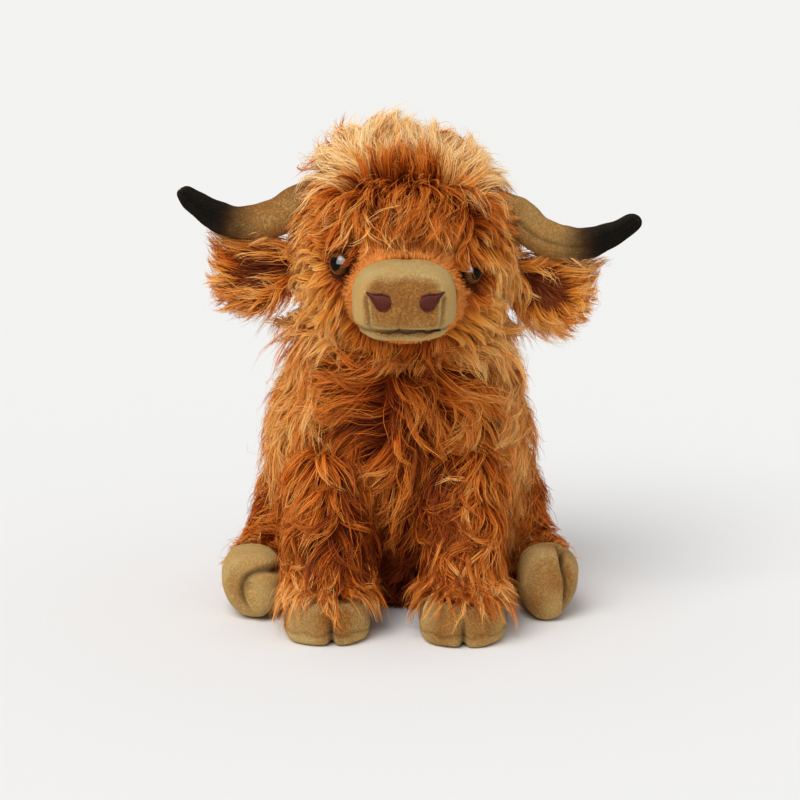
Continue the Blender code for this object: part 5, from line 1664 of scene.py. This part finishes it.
# rows of length, width and height
HIND_HOOF_SHARES = (
    (0.00, 0.90, 0.90),
    (0.12, 0.98, 0.98),
    (0.30, 1.00, 1.00),
    (0.55, 1.00, 1.00),
    (0.78, 0.93, 0.94),
    (0.92, 0.78, 0.80),
    (1.00, 0.50, 0.54),
    (1.01, 0.20, 0.22),
)
for side_name, side in LEFT_RIGHT.items():
    hip = Vector((side * BODY_WIDTH / 2 * HIP_PLANE, HIP_BACK, HAUNCH_RADIUS + HAUNCH_LIFT))
    ankle_rise = HIND_HOOF[2] / 2 - hip.z
    rows = []
    for length, height, thick in HAUNCH_SHARES:
        rows.append((0.0, -HAUNCH_RADIUS * length, 0.0, HAUNCH_THICK * thick, HAUNCH_RADIUS * height))
    for reach, shift, width, height in SHIN_SHARES:
        half_height = HIND_HOOF[2] / 2 * height
        rise = ankle_rise + half_height - HIND_HOOF[2] / 2 + HAUNCH_LIFT
        half_width = HIND_HOOF[0] / 2 * width
        rows.append((side * SHIN_OUT * shift, -SHIN_REACH * reach, rise, half_width, half_height))
    rings = []
    for shift, depth, rise, half_width, half_height in smoothed(rows, 30):
        half_width = max(half_width - HIND_PILE, 0.002)
        half_height = max(half_height - HIND_PILE, 0.002)
        centre = hip + Vector((shift, depth, max(rise, half_height + 0.002 - hip.z)))
        rings.append(ring_place(centre, half_width, half_height))
    leg_mesh = drawn(rings, 40)
    leg_skin = leg_mesh.copy()
    leg_body = "hind_leg_" + side_name
    piece("hind_leg_cover_" + side_name, leg_mesh, backing, leg_body, "long_pile", leg_body, fill=0.8)

    start = hip + Vector((side * SHIN_OUT, -SHIN_REACH - GAP, ankle_rise))
    rings = []
    for along, width, height in smoothed(HIND_HOOF_SHARES, 34):
        centre = start - Vector((0.0, HIND_HOOF[1] * along, 0.0))
        rings.append(ring_place(centre, HIND_HOOF[0] / 2 * width, HIND_HOOF[2] / 2 * height))
    hoof_mesh = drawn(rings, 128, HOOF_ROUND)

    def hind_lines(places):
        """The sole's curved cleft and the seam behind it, 0 to 1, and where a place is beside the cleft."""
        across = side * (places[:, :1] - start.x) / (HIND_HOOF[0] / 2)
        rise = (places[:, 2:] - start.z) / (HIND_HOOF[2] / 2)
        crease = np.interp(rise, (-1.0, -0.5, 0.0, 0.5, 1.0), (0.72, 0.66, 0.58, 0.48, 0.38))
        beside = across - crease
        if side < 0:
            beside = (np.hypot((across + 0.50) / 0.80, (rise + 0.18) / 0.72) - 1) * 0.75
        cleft = dent(beside * HIND_HOOF[0] / 2, 0.0014) * np.clip((rise + 0.85) / 0.5, 0, 1)
        seam = dent(places[:, 1:2] - (start.y - 0.0075), 0.0006)
        return cleft * (places[:, 1:2] < start.y - 0.002), seam, beside, rise

    def hind_shape(places, outs):
        """Two toes, the inner one fuller, on a hoof that narrows to the floor."""
        cleft, seam, beside, rise = hind_lines(places)
        shaped = places + outs * (drift(places, 0.012, 91) * 0.0003 - seam * 0.0004 - cleft * 0.0036)
        ahead = np.clip((start.y - places[:, 1:2]) / 0.02, 0, 1)
        front_lobe = -np.clip(beside / 0.10, -1, 1)
        shaped[:, 1:2] -= front_lobe * ahead * 0.0015
        notch = 0.0085 if side > 0 else 0.002
        top = np.clip(rise, 0, 1) ** 2 * (np.clip(beside / 0.12, -1, 1) * -0.0005 - 0.0004)
        shaped[:, 2:] += top - cleft * np.clip(rise - 0.3, 0, 1) * notch
        narrow = 1 - 0.30 * np.clip(0.35 - rise, 0, 1.4) ** 1.5 / 1.4**1.5 * ahead
        shaped[:, :1] = start.x + (shaped[:, :1] - start.x) * narrow - side * 0.0016 * (1 - narrow) / 0.3
        shaped[:, 2:] = np.maximum(shaped[:, 2:], SOLE_CLEAR)
        return shaped

    places = np.array([point.co for point in hoof_mesh.verts])
    cleft, seam = hind_lines(places)[:2]
    hoof_skin = hoof_mesh.copy()
    moved(hoof_mesh, hind_shape)
    hoof_name = "hind_hoof_plush_" + side_name
    hoof = piece(hoof_name, hoof_mesh, tan_plush, leg_body, "tan_plush", "hind_hoof_" + side_name, fill=0.9)
    # painted shade in the cleft and along the seam; painted light paler on the left hoof and at the rims as
    # painted sheen
    marked(hoof, "fold", np.clip(cleft * 0.75 + seam * 0.35, 0, 1))
    marked(hoof, "nap", 0.44 - 0.18 * side + 0.28 * rim(hoof) + 0.2 * drift(places, 0.02, 93)[:, 0])

    def hind_flow(places, outs):
        """Down, outwards and forward."""
        way = DOWN * 0.9 + np.array((side * 0.45, -0.45, 0.0)) + outs * 0.1
        return swirled(way, places, outs, 0.7, (0.03, 92 + side, 0.6), (0.014, 94, 0.25))

    def hind_keep(places, outs):
        """Pile grows on the outer side, down to the ankle."""
        x, y, _ = columns(places)
        return (outs[:, 2:] > -0.8) & (side * x > hip.x * side - 0.004) & (y > start.y + 0.002)

    generator = np.random.default_rng(95 + side)
    roots, outs = scattered(leg_skin, 0.0040, generator, hind_keep)
    lengths = generator.uniform(0.018, 0.028, (len(roots), 1))
    ahead = np.clip((roots[:, 1:2] - start.y - 0.002) / 0.02, 0.0, 1.0)
    lengths = lengths * (0.45 + 0.55 * ahead)
    heights = generator.uniform(0.004, 0.008, (len(roots), 1)) * (0.6 + 0.4 * ahead)
    whole = joined(leg_skin, hoof_skin)
    count = len(roots)
    bends = generator.normal(0, (0.35, 0.6), (count, 2))
    lines, lifts = combed(whole, roots, outs, hind_flow, lengths, heights, lift=0.65, hold=0.4, bends=bends)
    lines[..., 2] = np.maximum(lines[..., 2], 0.0015)
    # the outer side of each haunch paler as painted light
    tones = 0.44 + 0.2 * drift(roots, 0.018, 96) + 0.2 * np.clip((side * roots[:, :1] - 0.060) / 0.015, 0, 1)
    curl, turns = generator.uniform(0.001, 0.0036, (count, 1)), generator.uniform(0.6, 1.2, (count, 1))
    fibres = pile(lines, lifts, generator, 13, 0.0023, curl, turns, tones)
    piece("hind_leg_pile_" + side_name, fibres, long_pile, leg_body, "long_pile", leg_body)
    fibres = loose_pile(lines, lifts, 97, 4, 0.0046, curl, turns, tones + 0.08)
    piece("hind_leg_fluff_" + side_name, fibres, long_pile, leg_body, "long_pile", leg_body)

# Tail
# A thin sleeve of pile that hangs from the back, with a tuft of longer, paler pile at its end.
TAIL_HEIGHT = 0.058
TAIL_SINK = 0.0015
TAIL_RADIUS = 0.0058
TAIL_PILE = 0.0025
TAIL_LENGTH = 0.040
TAIL_SLOPE = math.radians(33.0)
# rows of length and radius
TAIL_SHARES = ((-0.12, 0.2), (-0.08, 0.7), (0.0, 1.0), (0.5, 0.95), (0.97, 0.9), (1.0, 0.6))
TUFT_START = 0.62
_, half_depth, middle = body_section(TAIL_HEIGHT)
tail_root = Vector((0.0, middle + half_depth - TAIL_SINK, TAIL_HEIGHT))
tail_way = Vector((0.0, math.sin(TAIL_SLOPE), -math.cos(TAIL_SLOPE)))
tail_up = tail_way.cross(Vector(ALONG_X))
rings = []
for along, size in smoothed(TAIL_SHARES, 18):
    centre = tail_root + tail_way * TAIL_LENGTH * along
    radius = (TAIL_RADIUS - TAIL_PILE) * size
    rings.append(ring_place(centre, radius, radius, ALONG_X, tail_up))
tail_mesh = drawn(rings, 24)
tail_skin = tail_mesh.copy()
piece("tail_cover", tail_mesh, backing, "tail", "long_pile", "tail", fill=0.4)


def tail_flow(places, outs):
    """Down the tail."""
    return laid(np.array(tail_way) + drift(places, 0.02, 101) * 0.2, outs, 0.5)


def tail_keep(places, outs):
    """Pile grows all over the tail."""
    return np.ones(len(places), bool)


generator = np.random.default_rng(102)
roots, outs = scattered(tail_skin, 0.0026, generator, tail_keep)
along = (roots - np.array(tail_root)) @ np.array(tail_way) / TAIL_LENGTH
tuft = along > TUFT_START
# the parts of the tail: which locks, their lengths and heights, finish, slot and solid
tail_parts = {
    "tail_pile": (~tuft, (0.012, 0.018), (0.0015, 0.0032), long_pile, "long_pile", "tail"),
    "tail_tuft_pile": (tuft, (0.026, 0.036), (0.002, 0.007), pale_pile, "pale_pile", "tail_tuft"),
}
for name, (chosen, length_range, height_range, finish, slot, node) in tail_parts.items():
    count = chosen.sum()
    lengths = generator.uniform(*length_range, (count, 1))
    heights = generator.uniform(*height_range, (count, 1))
    lines, lifts = combed(
        tail_skin, roots[chosen], outs[chosen], tail_flow, lengths, heights, lift=0.35, hold=0.3)
    lines[..., 2] = np.maximum(lines[..., 2], 0.0015)
    curl = generator.uniform(0.0008, 0.0024, (count, 1))
    tones = 0.5 + 0.3 * drift(roots[chosen], 0.01, 103)
    fibres = pile(lines, lifts, generator, 14, 0.0017, curl, 0.8, tones)
    piece(name, fibres, finish, "tail", slot, node)

low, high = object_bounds()
